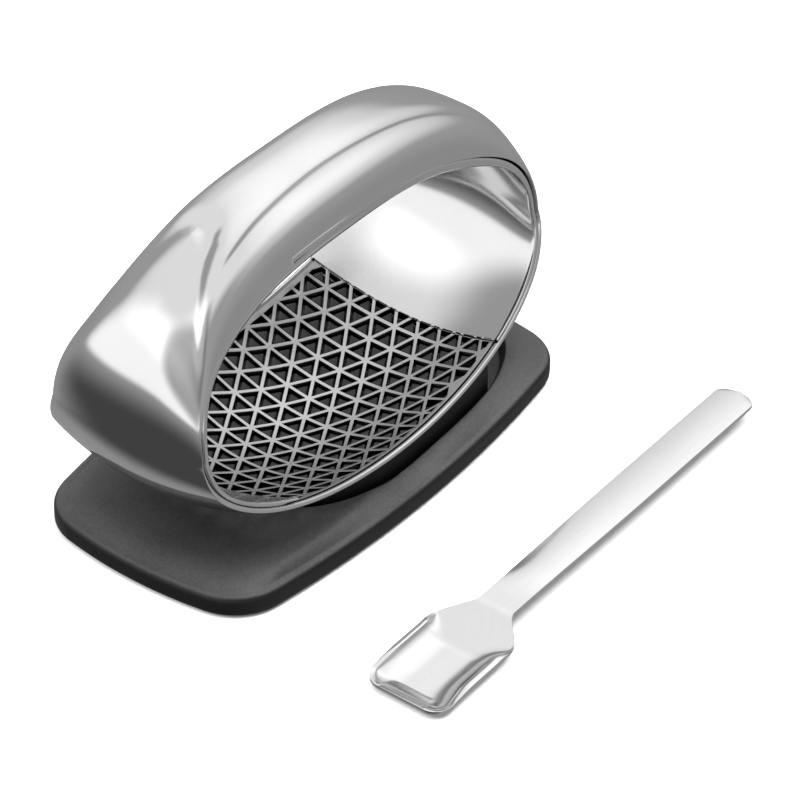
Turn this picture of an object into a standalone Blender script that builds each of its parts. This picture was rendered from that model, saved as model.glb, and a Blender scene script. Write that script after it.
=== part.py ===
"""Rocking garlic press on its tray, with a scoop: six separate pieces in metres, +Z up.

The press is a closed loop: an outer shell, an inner liner and a perforated crushing plate.
It sits on a tray whose pocket carries cleaning studs that stand up into the holes.
"""
import math

import bpy
import bmesh
from mathutils import Vector
from mathutils.geometry import delaunay_2d_cdt

MM = 0.001

# ---- tray (all in millimetres) ----
TRAY_L = 120.0            # overall length along X
TRAY_W = 66.4             # overall width along Y
TRAY_CORNER = 13.6        # corner radius
TRAY_BULGE_X = 1.4        # how far each end bows outwards
TRAY_BULGE_Y = 3.6        # how far each long side bows outwards
TRAY_T = 5.0              # height of the side wall
TRAY_CROWN = 2.0          # rise of the top from the edge to the pocket
CROWN_RUN = 8.0           # distance from the edge over which the top rises
TRAY_EDGE = 0.9           # rounding of the top and bottom edges
PAD_T = 0.9               # non-slip pad under the tray
PAD_PROUD = 0.5           # how far the pad stands below the tray
PAD_L = 84.0              # length of the pad
PAD_W = 38.0              # width of the pad

# ---- press loop ----
LOOP_A = 61.3             # half length of the loop at mid width
LOOP_B = 34.9             # half height of the loop at mid width
LOOP_X = -1.5             # middle of the loop along X
TOP_POWER = 2.69          # upper half: 2 is an ellipse, more is squarer
HALF_TOP = 12.2           # half width of the loop at the handle
HALF_END = 19.8           # half width at the two ends
HALF_BOTTOM = 28.0        # half width at the floor
DROP_TOP = 9.6             # fall from the handle's crest to the opening edge
DROP_END = 1.8            # barrel of the ends, before the handle's share is added
DROP_BOTTOM = 8.6         # barrel of the floor
HANDLE_FROM = 30.0        # degrees from the top where the handle section starts to fade
HANDLE_FADE = 87.0        # degrees over which it fades
GROOVE_V = 0.37           # place of the groove along the handle, share of half width
GROOVE_D = 0.55           # groove depth
SHELL_T = 1.2             # outer shell thickness
LINER_T = 1.0             # inner liner thickness
GAP = 0.3                 # clearance between neighbouring pieces
LINER_ARCH = 3.4          # arch of the liner across its width, under the handle

# ---- crushing plate and studs ----
PITCH = 6.04              # distance between pattern nodes across the floor
ROW = 5.5                 # distance between pattern rows along the floor
BAR = 0.8                 # width of the bars between the holes
PLATE_T = 1.8             # plate thickness, measured upright
PLATE_HALF_L = 39.0       # half length along the curved floor
PLATE_BORDER = 1.1        # solid border beside the holes
PLATE_END = 0.8           # solid border at the ends
STUD_MARGIN = 0.5         # bare top between the cradle's edge and the first studs
LINER_BACK = 1.1          # the liner starts this far beyond the plate
RIM_STRIP = 1.2           # shell left standing outside the plate
STUD_CLEAR = 0.55         # clearance round each stud in its hole
STUD_DRAFT = 0.2          # how much each stud narrows
STUD_BELOW = 0.5          # stud tops below the plate's upper face
LATTICE_U = 1.49          # where the pattern starts along the floor
LATTICE_V = 1.06          # where the pattern starts across the floor

POCKET_GAP = 0.35         # clearance under the press
POCKET_X = -2.0           # where the pocket is widest
POCKET_RIGHT = 56.0       # its reach from there towards +X
POCKET_LEFT = 30.0        # its reach from there towards -X
POCKET_HALF_W = 27.0      # half its width
POCKET_POWER_R = 3.0      # squareness of its +X end (2 is an ellipse)
POCKET_POWER_L = 2.2      # squareness of its -X end
POCKET_CHAMFER = 0.9      # width of the sloping lip round the pocket
POCKET_DEPTH = 1.4        # depth of the pocket's outer floor below the tray's edge height
CRADLE_INSET = 1.6        # cradle's edge inside the plate's edge
CRADLE_MARGIN = 0.9       # least width of the low margin between pocket and cradle
CRADLE_DRAFT = 0.4        # slope of the cradle's sides in plan

# ---- scoop ----
SCOOP_X0 = -55.9          # front lip
SCOOP_X1 = 68.2           # end of the handle
SCOOP_Y = -67.1           # centre line of the handle
SCOOP_T = 1.2             # sheet thickness
SCOOP_BOWL_L = 28.2       # length of the bowl
SCOOP_BOWL_W = 19.8       # width of the bowl
SCOOP_CORNER = 4.2        # radius of the bowl's front corners in plan
SCOOP_FRONT = 2.5         # height of the front rim's outer edge
SCOOP_SIDE = 3.4          # height of the side rims' outer edge
SCOOP_BEND = 2.6          # radius of the bend at the foot of the rim
SCOOP_HOLLOW = 6.0        # width of the curve inside the rim
SCOOP_LIFT = 3.6          # height of the handle's underside behind the neck
SCOOP_HANDLE_W = 9.2      # width of the handle
SCOOP_NECK_W = 8.2        # width of the neck

FLOOR = 0.0
TRAY_Z0 = FLOOR + PAD_PROUD            # tray underside
TRAY_TOP = TRAY_Z0 + TRAY_T            # top at the edge
LOOP_Z0 = TRAY_TOP - 0.6               # lowest point of the loop
LOOP_ZC = LOOP_Z0 + LOOP_B


def clear_scene():
    for ob in list(bpy.data.objects):
        bpy.data.objects.remove(ob, do_unlink=True)


def material(name, colour, metallic, roughness):
    mat = bpy.data.materials.new(name)
    mat.use_nodes = True
    bsdf = mat.node_tree.nodes["Principled BSDF"]
    bsdf.inputs["Base Color"].default_value = (*colour, 1.0)
    bsdf.inputs["Metallic"].default_value = metallic
    bsdf.inputs["Roughness"].default_value = roughness
    return mat


def add_object(name, verts, faces, mat, smooth_deg=None):
    """Mesh object from millimetre vertices."""
    mesh = bpy.data.meshes.new(name)
    mesh.from_pydata([(x * MM, y * MM, z * MM) for x, y, z in verts], [], faces)
    mesh.validate()
    bm = bmesh.new()
    bm.from_mesh(mesh)
    bmesh.ops.recalc_face_normals(bm, faces=bm.faces)
    bm.to_mesh(mesh)
    bm.free()
    mesh.materials.append(mat)
    ob = bpy.data.objects.new(name, mesh)
    bpy.context.scene.collection.objects.link(ob)
    if smooth_deg:
        mesh.set_sharp_from_angle(angle=math.radians(smooth_deg))
        for poly in mesh.polygons:
            poly.use_smooth = True
    return ob


# ---------------------------------------------------------------- press loop

def smooth(t):
    t = min(1.0, max(0.0, t))
    return t * t * (3.0 - 2.0 * t)


def three_way(phi, top, end, bottom):
    """Value that is top at phi 0, end at 90 degrees, bottom at 180."""
    c = math.cos(phi)
    mean = 0.5 * (top + bottom)
    return end + 0.5 * (top - bottom) * c + (mean - end) * c * c


def half_width(phi):
    return three_way(phi, HALF_TOP, HALF_END, HALF_BOTTOM)


def handle_share(phi):
    """1 over the handle, 0 towards the floor."""
    a = abs(math.degrees(phi))
    return 1.0 - smooth((a - HANDLE_FROM) / HANDLE_FADE)


def drop(phi):
    end_floor = three_way(phi, DROP_END, DROP_END, DROP_BOTTOM)
    k = handle_share(phi)
    return DROP_TOP * k + end_floor * (1.0 - k)


def drop_shape(phi, v):
    """Share of the drop reached at v, from 0 at mid width to 1 at the edge."""
    v = min(1.0, abs(v))
    bull_nose = 1.0 - math.sqrt(1.0 - v ** 4)
    k = handle_share(phi)
    return bull_nose * k + v * v * (1.0 - k)


def groove(phi, v):
    if v > 0.0:
        return 0.0
    return GROOVE_D * handle_share(phi) ** 2 * math.exp(-((abs(v) - GROOVE_V) / 0.1) ** 2)


def loop_point(phi, y, depth):
    """Point on the loop: depth measured inwards from the mid-width oval."""
    c = math.cos(phi)
    s = math.sin(phi)
    n = TOP_POWER if c > 0.0 else 2.0
    x = LOOP_A * math.copysign(abs(s) ** (2.0 / n), s)
    z = LOOP_B * math.copysign(abs(c) ** (2.0 / n), c)
    nx = math.copysign(abs(x / LOOP_A) ** (n - 1.0), x) / LOOP_A
    nz = math.copysign(abs(z / LOOP_B) ** (n - 1.0), z) / LOOP_B
    length = math.hypot(nx, nz)
    return (LOOP_X + x - depth * nx / length, y, LOOP_ZC + z - depth * nz / length)


def shell_depth(phi, v):
    return drop(phi) * drop_shape(phi, v) + groove(phi, v)


def liner_depth(phi, v):
    """Outer face of the liner."""
    k = handle_share(phi)
    arch = LINER_ARCH * k + drop(phi) * (1.0 - k)
    return drop(phi) + SHELL_T + GAP - arch * (1.0 - v * v)


def floor_angle(u):
    """Loop angle whose floor point lies u along the curved floor from the middle."""
    sign = 1.0 if u >= 0.0 else -1.0
    left = abs(u)
    phi = math.pi
    step = 0.0025
    while left > 0.0:
        ds = math.hypot(LOOP_A * math.cos(phi), LOOP_B * math.sin(phi)) * step
        if ds >= left:
            phi -= step * left / ds
            break
        left -= ds
        phi -= step
    return sign * phi


def floor_point(u, v, depth):
    """Point over the curved floor, v in millimetres across it."""
    phi = floor_angle_cached(u)
    share = v / half_width(abs(phi))
    return loop_point(phi, v, shell_depth(phi, share) + depth)


_angles = {}


def floor_angle_cached(u):
    key = round(u, 4)
    if key not in _angles:
        _angles[key] = floor_angle(key)
    return _angles[key]


def plate_half_width(u):
    """Half width of the plate at u along the floor."""
    phi = floor_angle_cached(u)
    return half_width(abs(phi)) - RIM_STRIP


def build_shell(mat):
    """Loop of sheet, open where the plate sits."""
    n_phi = 80
    phi_w = abs(floor_angle(PLATE_HALF_L + GAP))
    phis = []
    n_floor = 30
    for i in range(n_floor + 1):
        u = -(PLATE_HALF_L + GAP) + 2.0 * (PLATE_HALF_L + GAP) * i / n_floor
        phis.append(floor_angle(u) if u != 0 else math.pi)
    # angles run from the -X side of the floor to the +X side, then over the top
    floor = [2 * math.pi - abs(p) if i < n_floor / 2 else abs(p) for i, p in enumerate(phis)]
    over = []
    n_top = n_phi - n_floor
    for i in range(1, n_top):
        over.append(phi_w - 2.0 * phi_w * i / n_top)
    angles = floor + over
    vs_open = [-1.0, -0.96, -0.9, -0.8, -0.66, -0.5, -GROOVE_V, -0.24, -0.1]
    vs_open = vs_open + [0.0] + [-v for v in reversed(vs_open)]
    n_v = len(vs_open)
    verts = []
    for layer in range(2):
        for i, a in enumerate(angles):
            phi = a if a <= math.pi else a - 2 * math.pi
            w = half_width(abs(phi))
            strip = 1.0 - RIM_STRIP / w
            k = handle_share(phi)
            for j, v in enumerate(vs_open):
                q = v
                if j == 1:
                    q = -strip
                if j == n_v - 2:
                    q = strip
                pull = (w - SHELL_T * 0.6 * k * layer * min(1.0, abs(q) ** 3)) / w
                if layer and i <= n_floor and 1 <= j <= n_v - 2:
                    x, y, z = loop_point(phi, q * w, shell_depth(phi, q))
                    verts.append((x, y, z + SHELL_T))
                    continue
                verts.append(loop_point(phi, q * w * pull, shell_depth(phi, q) + SHELL_T * layer))
    n_a = len(angles)

    def vid(layer, i, j):
        return layer * n_a * n_v + (i % n_a) * n_v + j

    def solid(i, j):
        window = i < n_floor
        return 0 <= j < n_v - 1 and not (window and 1 <= j <= n_v - 3)

    faces = []
    for i in range(n_a):
        for j in range(n_v - 1):
            if not solid(i, j):
                continue
            faces.append((vid(0, i, j), vid(0, i + 1, j), vid(0, i + 1, j + 1), vid(0, i, j + 1)))
            faces.append((vid(1, i, j), vid(1, i, j + 1), vid(1, i + 1, j + 1), vid(1, i + 1, j)))
            if not solid(i, j - 1):
                faces.append((vid(0, i, j), vid(1, i, j), vid(1, i + 1, j), vid(0, i + 1, j)))
            if not solid(i, j + 1):
                faces.append((vid(0, i, j + 1), vid(0, i + 1, j + 1), vid(1, i + 1, j + 1), vid(1, i, j + 1)))
            if not solid((i - 1) % n_a, j):
                faces.append((vid(0, i, j), vid(0, i, j + 1), vid(1, i, j + 1), vid(1, i, j)))
            if not solid((i + 1) % n_a, j):
                faces.append((vid(0, i + 1, j), vid(1, i + 1, j), vid(1, i + 1, j + 1), vid(0, i + 1, j + 1)))
    used = sorted({v for f in faces for v in f})
    remap = {v: i for i, v in enumerate(used)}
    verts = [verts[v] for v in used]
    faces = [tuple(remap[v] for v in f) for f in faces]
    return add_object("press_outer_shell", verts, faces, mat, 35)


def build_liner(mat):
    """Inner band from one end of the plate over the top to the other."""
    n_phi = 56
    phi_w = abs(floor_angle(PLATE_HALF_L + LINER_BACK))
    vs = [-1.0, -0.8, -0.5, -0.2, 0.2, 0.5, 0.8, 1.0]
    n_v = len(vs)
    verts = []
    for layer in range(2):
        for i in range(n_phi + 1):
            phi = phi_w - 2.0 * phi_w * i / n_phi
            w = half_width(abs(phi)) - 0.15
            for v in vs:
                verts.append(loop_point(phi, v * w, liner_depth(phi, v) + LINER_T * layer))

    def vid(layer, i, j):
        return layer * (n_phi + 1) * n_v + i * n_v + j

    faces = []
    for i in range(n_phi):
        for j in range(n_v - 1):
            faces.append((vid(0, i, j), vid(0, i + 1, j), vid(0, i + 1, j + 1), vid(0, i, j + 1)))
            faces.append((vid(1, i, j), vid(1, i, j + 1), vid(1, i + 1, j + 1), vid(1, i + 1, j)))
        faces.append((vid(0, i, 0), vid(1, i, 0), vid(1, i + 1, 0), vid(0, i + 1, 0)))
        faces.append((vid(0, i, n_v - 1), vid(0, i + 1, n_v - 1), vid(1, i + 1, n_v - 1), vid(1, i, n_v - 1)))
    for j in range(n_v - 1):
        faces.append((vid(0, 0, j), vid(0, 0, j + 1), vid(1, 0, j + 1), vid(1, 0, j)))
        faces.append((vid(0, n_phi, j), vid(1, n_phi, j), vid(1, n_phi, j + 1), vid(0, n_phi, j + 1)))
    return add_object("press_inner_liner", verts, faces, mat, 35)


# ---------------------------------------------------------------- perforated plate

def plate_outline(inset, end=0.0, steps=26, across=12):
    """Closed outline in floor coordinates (u along, v across), inset from the plate's edge."""
    half = PLATE_HALF_L - end
    side = []
    for i in range(steps + 1):
        u = -half + 2.0 * half * i / steps
        side.append((u, -(plate_half_width(u) - GAP - inset)))
    tip = []
    for i in range(1, across):
        tip.append((half, side[-1][1] * (1.0 - 2.0 * i / across)))
    butt = []
    for i in range(1, across):
        butt.append((-half, -side[0][1] * (1.0 - 2.0 * i / across)))
    return side + tip + [(u, -v) for u, v in reversed(side)] + butt


def clip(poly, edge_a, edge_b):
    """Part of the polygon left of the line from edge_a to edge_b."""
    ax, ay = edge_a
    bx, by = edge_b
    out = []
    n = len(poly)
    for i in range(n):
        p = poly[i]
        q = poly[(i + 1) % n]
        sp = (bx - ax) * (p[1] - ay) - (by - ay) * (p[0] - ax)
        sq = (bx - ax) * (q[1] - ay) - (by - ay) * (q[0] - ax)
        if sp >= 0:
            out.append(p)
        if (sp > 0 and sq < 0) or (sp < 0 and sq > 0):
            t = sp / (sp - sq)
            out.append((p[0] + t * (q[0] - p[0]), p[1] + t * (q[1] - p[1])))
    return out


def area(poly):
    total = 0.0
    for i in range(len(poly)):
        x0, y0 = poly[i]
        x1, y1 = poly[(i + 1) % len(poly)]
        total += x0 * y1 - x1 * y0
    return 0.5 * total


def inset_convex(poly, d):
    """Convex anticlockwise polygon moved inwards by d."""
    out = poly
    for i in range(len(poly)):
        a = poly[i]
        b = poly[(i + 1) % len(poly)]
        length = math.hypot(b[0] - a[0], b[1] - a[1])
        if length < 1e-6:
            continue
        nx = -(b[1] - a[1]) / length * d
        ny = (b[0] - a[0]) / length * d
        out = clip(out, (a[0] + nx, a[1] + ny), (b[0] + nx, b[1] + ny))
        if len(out) < 3:
            return []
    return out


def tidy(poly, tol=0.12):
    """Drops vertices closer together than tol."""
    out = []
    for p in poly:
        if not out or math.hypot(p[0] - out[-1][0], p[1] - out[-1][1]) > tol:
            out.append(p)
    while len(out) > 1 and math.hypot(out[0][0] - out[-1][0], out[0][1] - out[-1][1]) <= tol:
        out.pop()
    return out


def hole_polygons():
    """Every hole of the plate, whole or cut by the border."""
    border = plate_outline(PLATE_BORDER, PLATE_END)
    row = ROW
    holes = []
    n_u = int(PLATE_HALF_L / row) + 3
    n_v = int(HALF_BOTTOM / PITCH) + 3
    for i in range(-n_u, n_u + 1):
        for j in range(-2 * n_v, 2 * n_v + 1):
            u0 = LATTICE_U + i * row
            v0 = LATTICE_V + (j + 0.5 * (i % 2)) * PITCH
            right = [(u0, v0), (u0 + row, v0 + 0.5 * PITCH), (u0, v0 + PITCH)]
            left = [(u0, v0), (u0, v0 + PITCH), (u0 - row, v0 + 0.5 * PITCH)]
            for tri in (right, left):
                if area(tri) < 0:
                    tri = tri[::-1]
                hole = inset_convex(tri, 0.5 * BAR)
                for k in range(len(border)):
                    if len(hole) < 3:
                        break
                    hole = clip(hole, border[k], border[(k + 1) % len(border)])
                hole = tidy(hole)
                if len(hole) >= 3 and area(hole) > 1.2:
                    holes.append(hole)
    return holes


def flat_mesh(outline, holes, extra):
    """Triangles of the outline with the holes left out: (points, triangles, loops)."""
    points = []
    loops = []
    edges = []
    for poly in [outline] + holes:
        start = len(points)
        points.extend(poly)
        loop = list(range(start, start + len(poly)))
        loops.append(loop)
        for k in range(len(loop)):
            edges.append((loop[k], loop[(k + 1) % len(loop)]))
    points.extend(extra)
    res = delaunay_2d_cdt([Vector(p) for p in points], edges, [], 0, 1e-5)
    out_pts, _, tris, orig, _, _ = res
    where = {}
    for new, olds in enumerate(orig):
        for old in olds:
            where[old] = new
    loops = [[where[i] for i in loop] for loop in loops]
    pts = [(p[0], p[1]) for p in out_pts]
    boxes = []
    for poly in holes:
        xs = [p[0] for p in poly]
        ys = [p[1] for p in poly]
        boxes.append((min(xs), max(xs), min(ys), max(ys), poly))

    def inside(poly, c):
        hit = False
        n = len(poly)
        for i in range(n):
            x0, y0 = poly[i]
            x1, y1 = poly[(i + 1) % n]
            if (y0 > c[1]) != (y1 > c[1]):
                if c[0] < x0 + (c[1] - y0) * (x1 - x0) / (y1 - y0):
                    hit = not hit
        return hit

    keep = []
    for tri in tris:
        cx = sum(pts[i][0] for i in tri) / 3.0
        cy = sum(pts[i][1] for i in tri) / 3.0
        if not inside(outline, (cx, cy)):
            continue
        in_hole = False
        for x0, x1, y0, y1, poly in boxes:
            if x0 < cx < x1 and y0 < cy < y1 and inside(poly, (cx, cy)):
                in_hole = True
                break
        if not in_hole:
            keep.append(tuple(tri))
    return pts, keep, loops


def lattice_nodes(outline):
    """Corners of the pattern that fall inside the outline."""
    row = ROW
    inner = inset_convex(outline, 0.4)
    out = []
    for i in range(-12, 13):
        for j in range(-14, 15):
            p = (LATTICE_U + i * row, LATTICE_V + (j + 0.5 * (i % 2)) * PITCH)
            ok = True
            for k in range(len(inner)):
                a = inner[k]
                b = inner[(k + 1) % len(inner)]
                if (b[0] - a[0]) * (p[1] - a[1]) - (b[1] - a[1]) * (p[0] - a[0]) <= 0:
                    ok = False
                    break
            if ok:
                out.append(p)
    return out


def build_plate(mat):
    outline = plate_outline(0.0)
    holes = hole_polygons()
    pts, tris, loops = flat_mesh(outline, holes, lattice_nodes(outline))
    n = len(pts)
    verts = [floor_point(u, v, 0.0) for u, v in pts]
    verts += [(x, y, z + PLATE_T) for x, y, z in verts]
    faces = [tuple(t) for t in tris] + [(c + n, b + n, a + n) for a, b, c in tris]
    for loop in loops:
        for k in range(len(loop)):
            a = loop[k]
            b = loop[(k + 1) % len(loop)]
            faces.append((a, b, b + n, a + n))
    used = sorted({v for f in faces for v in f})
    remap = {v: i for i, v in enumerate(used)}
    return add_object("crushing_plate", [verts[v] for v in used],
                      [tuple(remap[v] for v in f) for f in faces], mat)


# ---------------------------------------------------------------- tray

def bowed_outline(length, width, r, bulge_x, bulge_y, inset, n_side, n_corner):
    """Rounded rectangle with four bowed sides, anticlockwise."""
    a = 0.5 * length - r - bulge_x
    b = 0.5 * width - r - bulge_y
    corners = [(a, -b), (a, b), (-a, b), (-a, -b)]
    sags = [bulge_x, bulge_y, bulge_x, bulge_y]
    arcs = []
    for k in range(4):
        p = Vector(corners[k])
        q = Vector(corners[(k + 1) % 4])
        chord = (q - p).length
        rad = (chord * chord / 4.0 + sags[k] ** 2) / (2.0 * sags[k])
        d = (q - p) / chord
        normal = Vector((d.y, -d.x))
        centre = (p + q) / 2.0 - normal * (rad - sags[k])
        a0 = math.atan2(p.y - centre.y, p.x - centre.x)
        a1 = math.atan2(q.y - centre.y, q.x - centre.x)
        if a1 < a0:
            a1 += 2.0 * math.pi
        arcs.append((centre, rad, a0, a1))
    out = []
    for k in range(4):
        centre, rad, a0, a1 = arcs[k]
        for i in range(n_side + 1):
            t = a0 + (a1 - a0) * i / n_side
            out.append((centre.x + (rad + r - inset) * math.cos(t), centre.y + (rad + r - inset) * math.sin(t)))
        b0 = a1
        b1 = arcs[(k + 1) % 4][2]
        while b1 < b0:
            b1 += 2.0 * math.pi
        while b1 - b0 > math.pi:
            b1 -= 2.0 * math.pi
        cx, cy = corners[(k + 1) % 4]
        for i in range(1, n_corner):
            t = b0 + (b1 - b0) * i / n_corner
            out.append((cx + (r - inset) * math.cos(t), cy + (r - inset) * math.sin(t)))
    return out


def tray_outline(inset=0.0):
    return bowed_outline(TRAY_L, TRAY_W, TRAY_CORNER, TRAY_BULGE_X, TRAY_BULGE_Y, inset, 14, 7)


def pocket_outline(inset=0.0):
    """Egg-shaped pocket edge, anticlockwise, point for point with the tray's outline."""
    out = []
    for x, y in tray_outline():
        t = math.atan2(y / TRAY_W, x / TRAY_L)
        c = math.cos(t)
        reach = POCKET_RIGHT if c > 0.0 else POCKET_LEFT
        n = POCKET_POWER_R if c > 0.0 else POCKET_POWER_L
        px = math.copysign(abs(c) ** (2.0 / n), c)
        py = math.copysign(abs(math.sin(t)) ** (2.0 / n), math.sin(t))
        nx = math.copysign(abs(px) ** (n - 1.0), c) / reach
        ny = math.copysign(abs(py) ** (n - 1.0), py) / POCKET_HALF_W
        length = math.hypot(nx, ny)
        out.append((POCKET_X + reach * px - inset * nx / length, POCKET_HALF_W * py - inset * ny / length))
    return out


def edge_distance(poly, x, y):
    """Distance from a point to the nearest side of a closed outline."""
    best = 1e9
    for i in range(len(poly)):
        ax, ay = poly[i]
        bx, by = poly[(i + 1) % len(poly)]
        dx = bx - ax
        dy = by - ay
        t = max(0.0, min(1.0, ((x - ax) * dx + (y - ay) * dy) / (dx * dx + dy * dy)))
        best = min(best, math.hypot(x - ax - t * dx, y - ay - t * dy))
    return best


def press_height(x, y, extra=0.0):
    """Height of the underside of the loop over (x, y), less a clearance."""
    side = 1.0 if x >= LOOP_X else -1.0
    low = 0.5 * math.pi
    high = math.pi
    for _ in range(26):
        phi = 0.5 * (low + high)
        point = loop_point(phi, y, shell_depth(phi, y / half_width(phi)))
        if point[0] - LOOP_X > abs(x - LOOP_X):
            low = phi
        else:
            high = phi
    point = loop_point(side * phi, y, shell_depth(phi, y / half_width(phi)))
    return point[2] - extra


def grown(poly, k, d):
    """Corner k of an anticlockwise outline, moved outwards by d."""
    a = Vector(poly[k - 1])
    p = Vector(poly[k])
    b = Vector(poly[(k + 1) % len(poly)])
    along = (b - a).normalized()
    return (p.x + d * along.y, p.y - d * along.x)


def cradle_outline(inset=0.0):
    """Edge of the raised cradle in plan, anticlockwise."""
    ring = plate_outline(CRADLE_INSET + inset, CRADLE_INSET + inset, 18)
    ring = [floor_point(u, v, 0.0)[:2] for u, v in ring]
    limit = pocket_outline(POCKET_CHAMFER + CRADLE_MARGIN + inset)
    for k in range(len(limit)):
        ring = clip(ring, limit[k], limit[(k + 1) % len(limit)])
    return tidy(ring, 0.3)


def free_points(plan, outline):
    """A few points on the cradle's top outside the studs."""
    out = []
    for i in range(-11, 12):
        for j in range(-7, 8):
            x = LOOP_X + i * 3.4
            y = j * 3.4
            if edge_distance(outline, x, y) < 1.0 or not inside_convex(outline, x, y):
                continue
            if min(edge_distance(p, x, y) for p in plan) > 1.0 and not any(inside_convex(p, x, y) for p in plan):
                out.append((x, y))
    return out


def inside_convex(poly, x, y):
    for k in range(len(poly)):
        ax, ay = poly[k]
        bx, by = poly[(k + 1) % len(poly)]
        if (bx - ax) * (y - ay) - (by - ay) * (x - ax) < 0:
            return False
    return True


def build_tray(mat):
    """Plate with rounded edges, crowned top, pocket and studs, as one closed skin."""
    rings = []
    steps = [(TRAY_EDGE, TRAY_Z0), (0.25 * TRAY_EDGE, TRAY_Z0 + 0.25 * TRAY_EDGE),
             (0.0, TRAY_Z0 + TRAY_EDGE), (0.0, TRAY_TOP - TRAY_EDGE),
             (0.25 * TRAY_EDGE, TRAY_TOP - 0.25 * TRAY_EDGE), (TRAY_EDGE, TRAY_TOP)]
    for inset, z in steps:
        rings.append([(x, y, z) for x, y in tray_outline(inset)])
    n = len(rings[0])
    verts = []
    faces = []
    for ring in rings:
        verts.extend(ring)
    for r in range(len(rings) - 1):
        for k in range(n):
            a = r * n + k
            b = r * n + (k + 1) % n
            faces.append((a, b, b + n, a + n))

    # underside with the pad's recess
    pad = pad_outline(GAP)
    under, tris, loops = flat_mesh([(x, y) for x, y, _ in rings[0]], [pad], [])
    index = {}
    for k, i in enumerate(loops[0]):
        index[i] = k
    base = len(verts)
    for i, p in enumerate(under):
        if i not in index:
            index[i] = len(verts)
            verts.append((p[0], p[1], TRAY_Z0))
    faces.extend(tuple(index[i] for i in t) for t in tris)
    recess = PAD_T - PAD_PROUD + GAP
    rim = [index[i] for i in loops[1]]
    top = len(verts)
    for p in pad:
        verts.append((p[0], p[1], TRAY_Z0 + recess))
    m = len(pad)
    for k in range(m):
        faces.append((rim[k], rim[(k + 1) % m], top + (k + 1) % m, top + k))
    faces.append(tuple(range(top, top + m)))

    # crowned top, in rings from the edge to the pocket
    pocket = pocket_outline()
    edge = tray_outline(TRAY_EDGE)
    start = (len(rings) - 1) * n
    for share in (0.3, 0.65, 1.0):
        new = len(verts)
        for k in range(n):
            ex, ey = edge[k]
            px, py = pocket[k]
            x = ex + (px - ex) * share
            y = ey + (py - ey) * share
            run = min(1.0, edge_distance(edge, x, y) / CROWN_RUN)
            verts.append((x, y, TRAY_TOP + TRAY_CROWN * math.sin(0.5 * math.pi * run)))
        for k in range(n):
            faces.append((start + k, start + (k + 1) % n, new + (k + 1) % n, new + k))
        start = new
    pocket_ids = list(range(start, start + n))

    # pocket: sloping lip, then a floor that follows the press where the press is low
    lip = len(verts)
    m = len(pocket)
    inner = pocket_outline(POCKET_CHAMFER)
    for x, y in inner:
        verts.append((x, y, TRAY_TOP - 0.2))
    for k in range(m):
        faces.append((pocket_ids[k], pocket_ids[(k + 1) % m], lip + (k + 1) % m, lip + k))
    bottom = pocket_outline(POCKET_CHAMFER + 0.3)
    wall = len(verts)
    low = TRAY_TOP - POCKET_DEPTH
    for x, y in bottom:
        verts.append((x, y, low))
    for k in range(m):
        faces.append((lip + k, lip + (k + 1) % m, wall + (k + 1) % m, wall + k))

    # low margin of the pocket and the cradle's side
    cradle = cradle_outline()
    foot = [grown(cradle, k, CRADLE_DRAFT) for k in range(len(cradle))]
    pts, tris, loops = flat_mesh(bottom, [foot], [])
    index = {}
    for k, i in enumerate(loops[0]):
        index[i] = wall + k
    for i, p in enumerate(pts):
        if i not in index:
            index[i] = len(verts)
            verts.append((p[0], p[1], low))
    faces.extend(tuple(index[i] for i in t) for t in tris)
    foot_ids = [index[i] for i in loops[1]]
    side = len(verts)
    m = len(cradle)
    for x, y in cradle:
        verts.append((x, y, press_height(x, y, POCKET_GAP)))
    for k in range(m):
        faces.append((foot_ids[k], foot_ids[(k + 1) % m], side + (k + 1) % m, side + k))

    studs = []
    plan = []
    keep_in = cradle_outline(STUD_MARGIN)
    for hole in hole_polygons():
        ring = [floor_point(u, v, 0.0)[:2] for u, v in hole]
        foot = inset_convex(ring, STUD_CLEAR - STUD_DRAFT)
        if len(foot) < 3:
            continue
        for k in range(len(keep_in)):
            if len(foot) >= 3:
                foot = clip(foot, keep_in[k], keep_in[(k + 1) % len(keep_in)])
        foot = tidy(foot, 0.2)
        if len(foot) < 3:
            continue
        head = inset_convex(foot, STUD_DRAFT)
        if len(foot) < 3 or len(head) != len(foot) or area(head) < 0.8:
            continue
        studs.append(head)
        plan.append(foot)
    pts, tris, loops = flat_mesh(cradle, plan, free_points(plan, cradle))
    index = {}
    for k, i in enumerate(loops[0]):
        index[i] = side + k
    for i, p in enumerate(pts):
        if i not in index:
            index[i] = len(verts)
            verts.append((p[0], p[1], press_height(p[0], p[1], POCKET_GAP)))
    faces.extend(tuple(index[i] for i in t) for t in tris)
    for head, loop in zip(studs, loops[1:]):
        ids = [index[i] for i in loop]
        start = len(verts)
        for x, y in head:
            verts.append((x, y, press_height(x, y, -(PLATE_T - STUD_BELOW))))
        c = len(ids)
        for k in range(c):
            faces.append((ids[k], ids[(k + 1) % c], start + (k + 1) % c, start + k))
        faces.append(tuple(range(start, start + c)))
    return add_object("base_tray", verts, faces, mat, 35)


def pad_outline(grow=0.0, n=12):
    """Rounded rectangle of the non-slip pad."""
    r = 9.0 + grow
    a = 0.5 * PAD_L + grow - r
    b = 0.5 * PAD_W + grow - r
    out = []
    for cx, cy, start in ((a, b, 0), (-a, b, 90), (-a, -b, 180), (a, -b, 270)):
        for i in range(n + 1):
            t = math.radians(start + 90.0 * i / n)
            out.append((cx + r * math.cos(t), cy + r * math.sin(t)))
    return out


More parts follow.
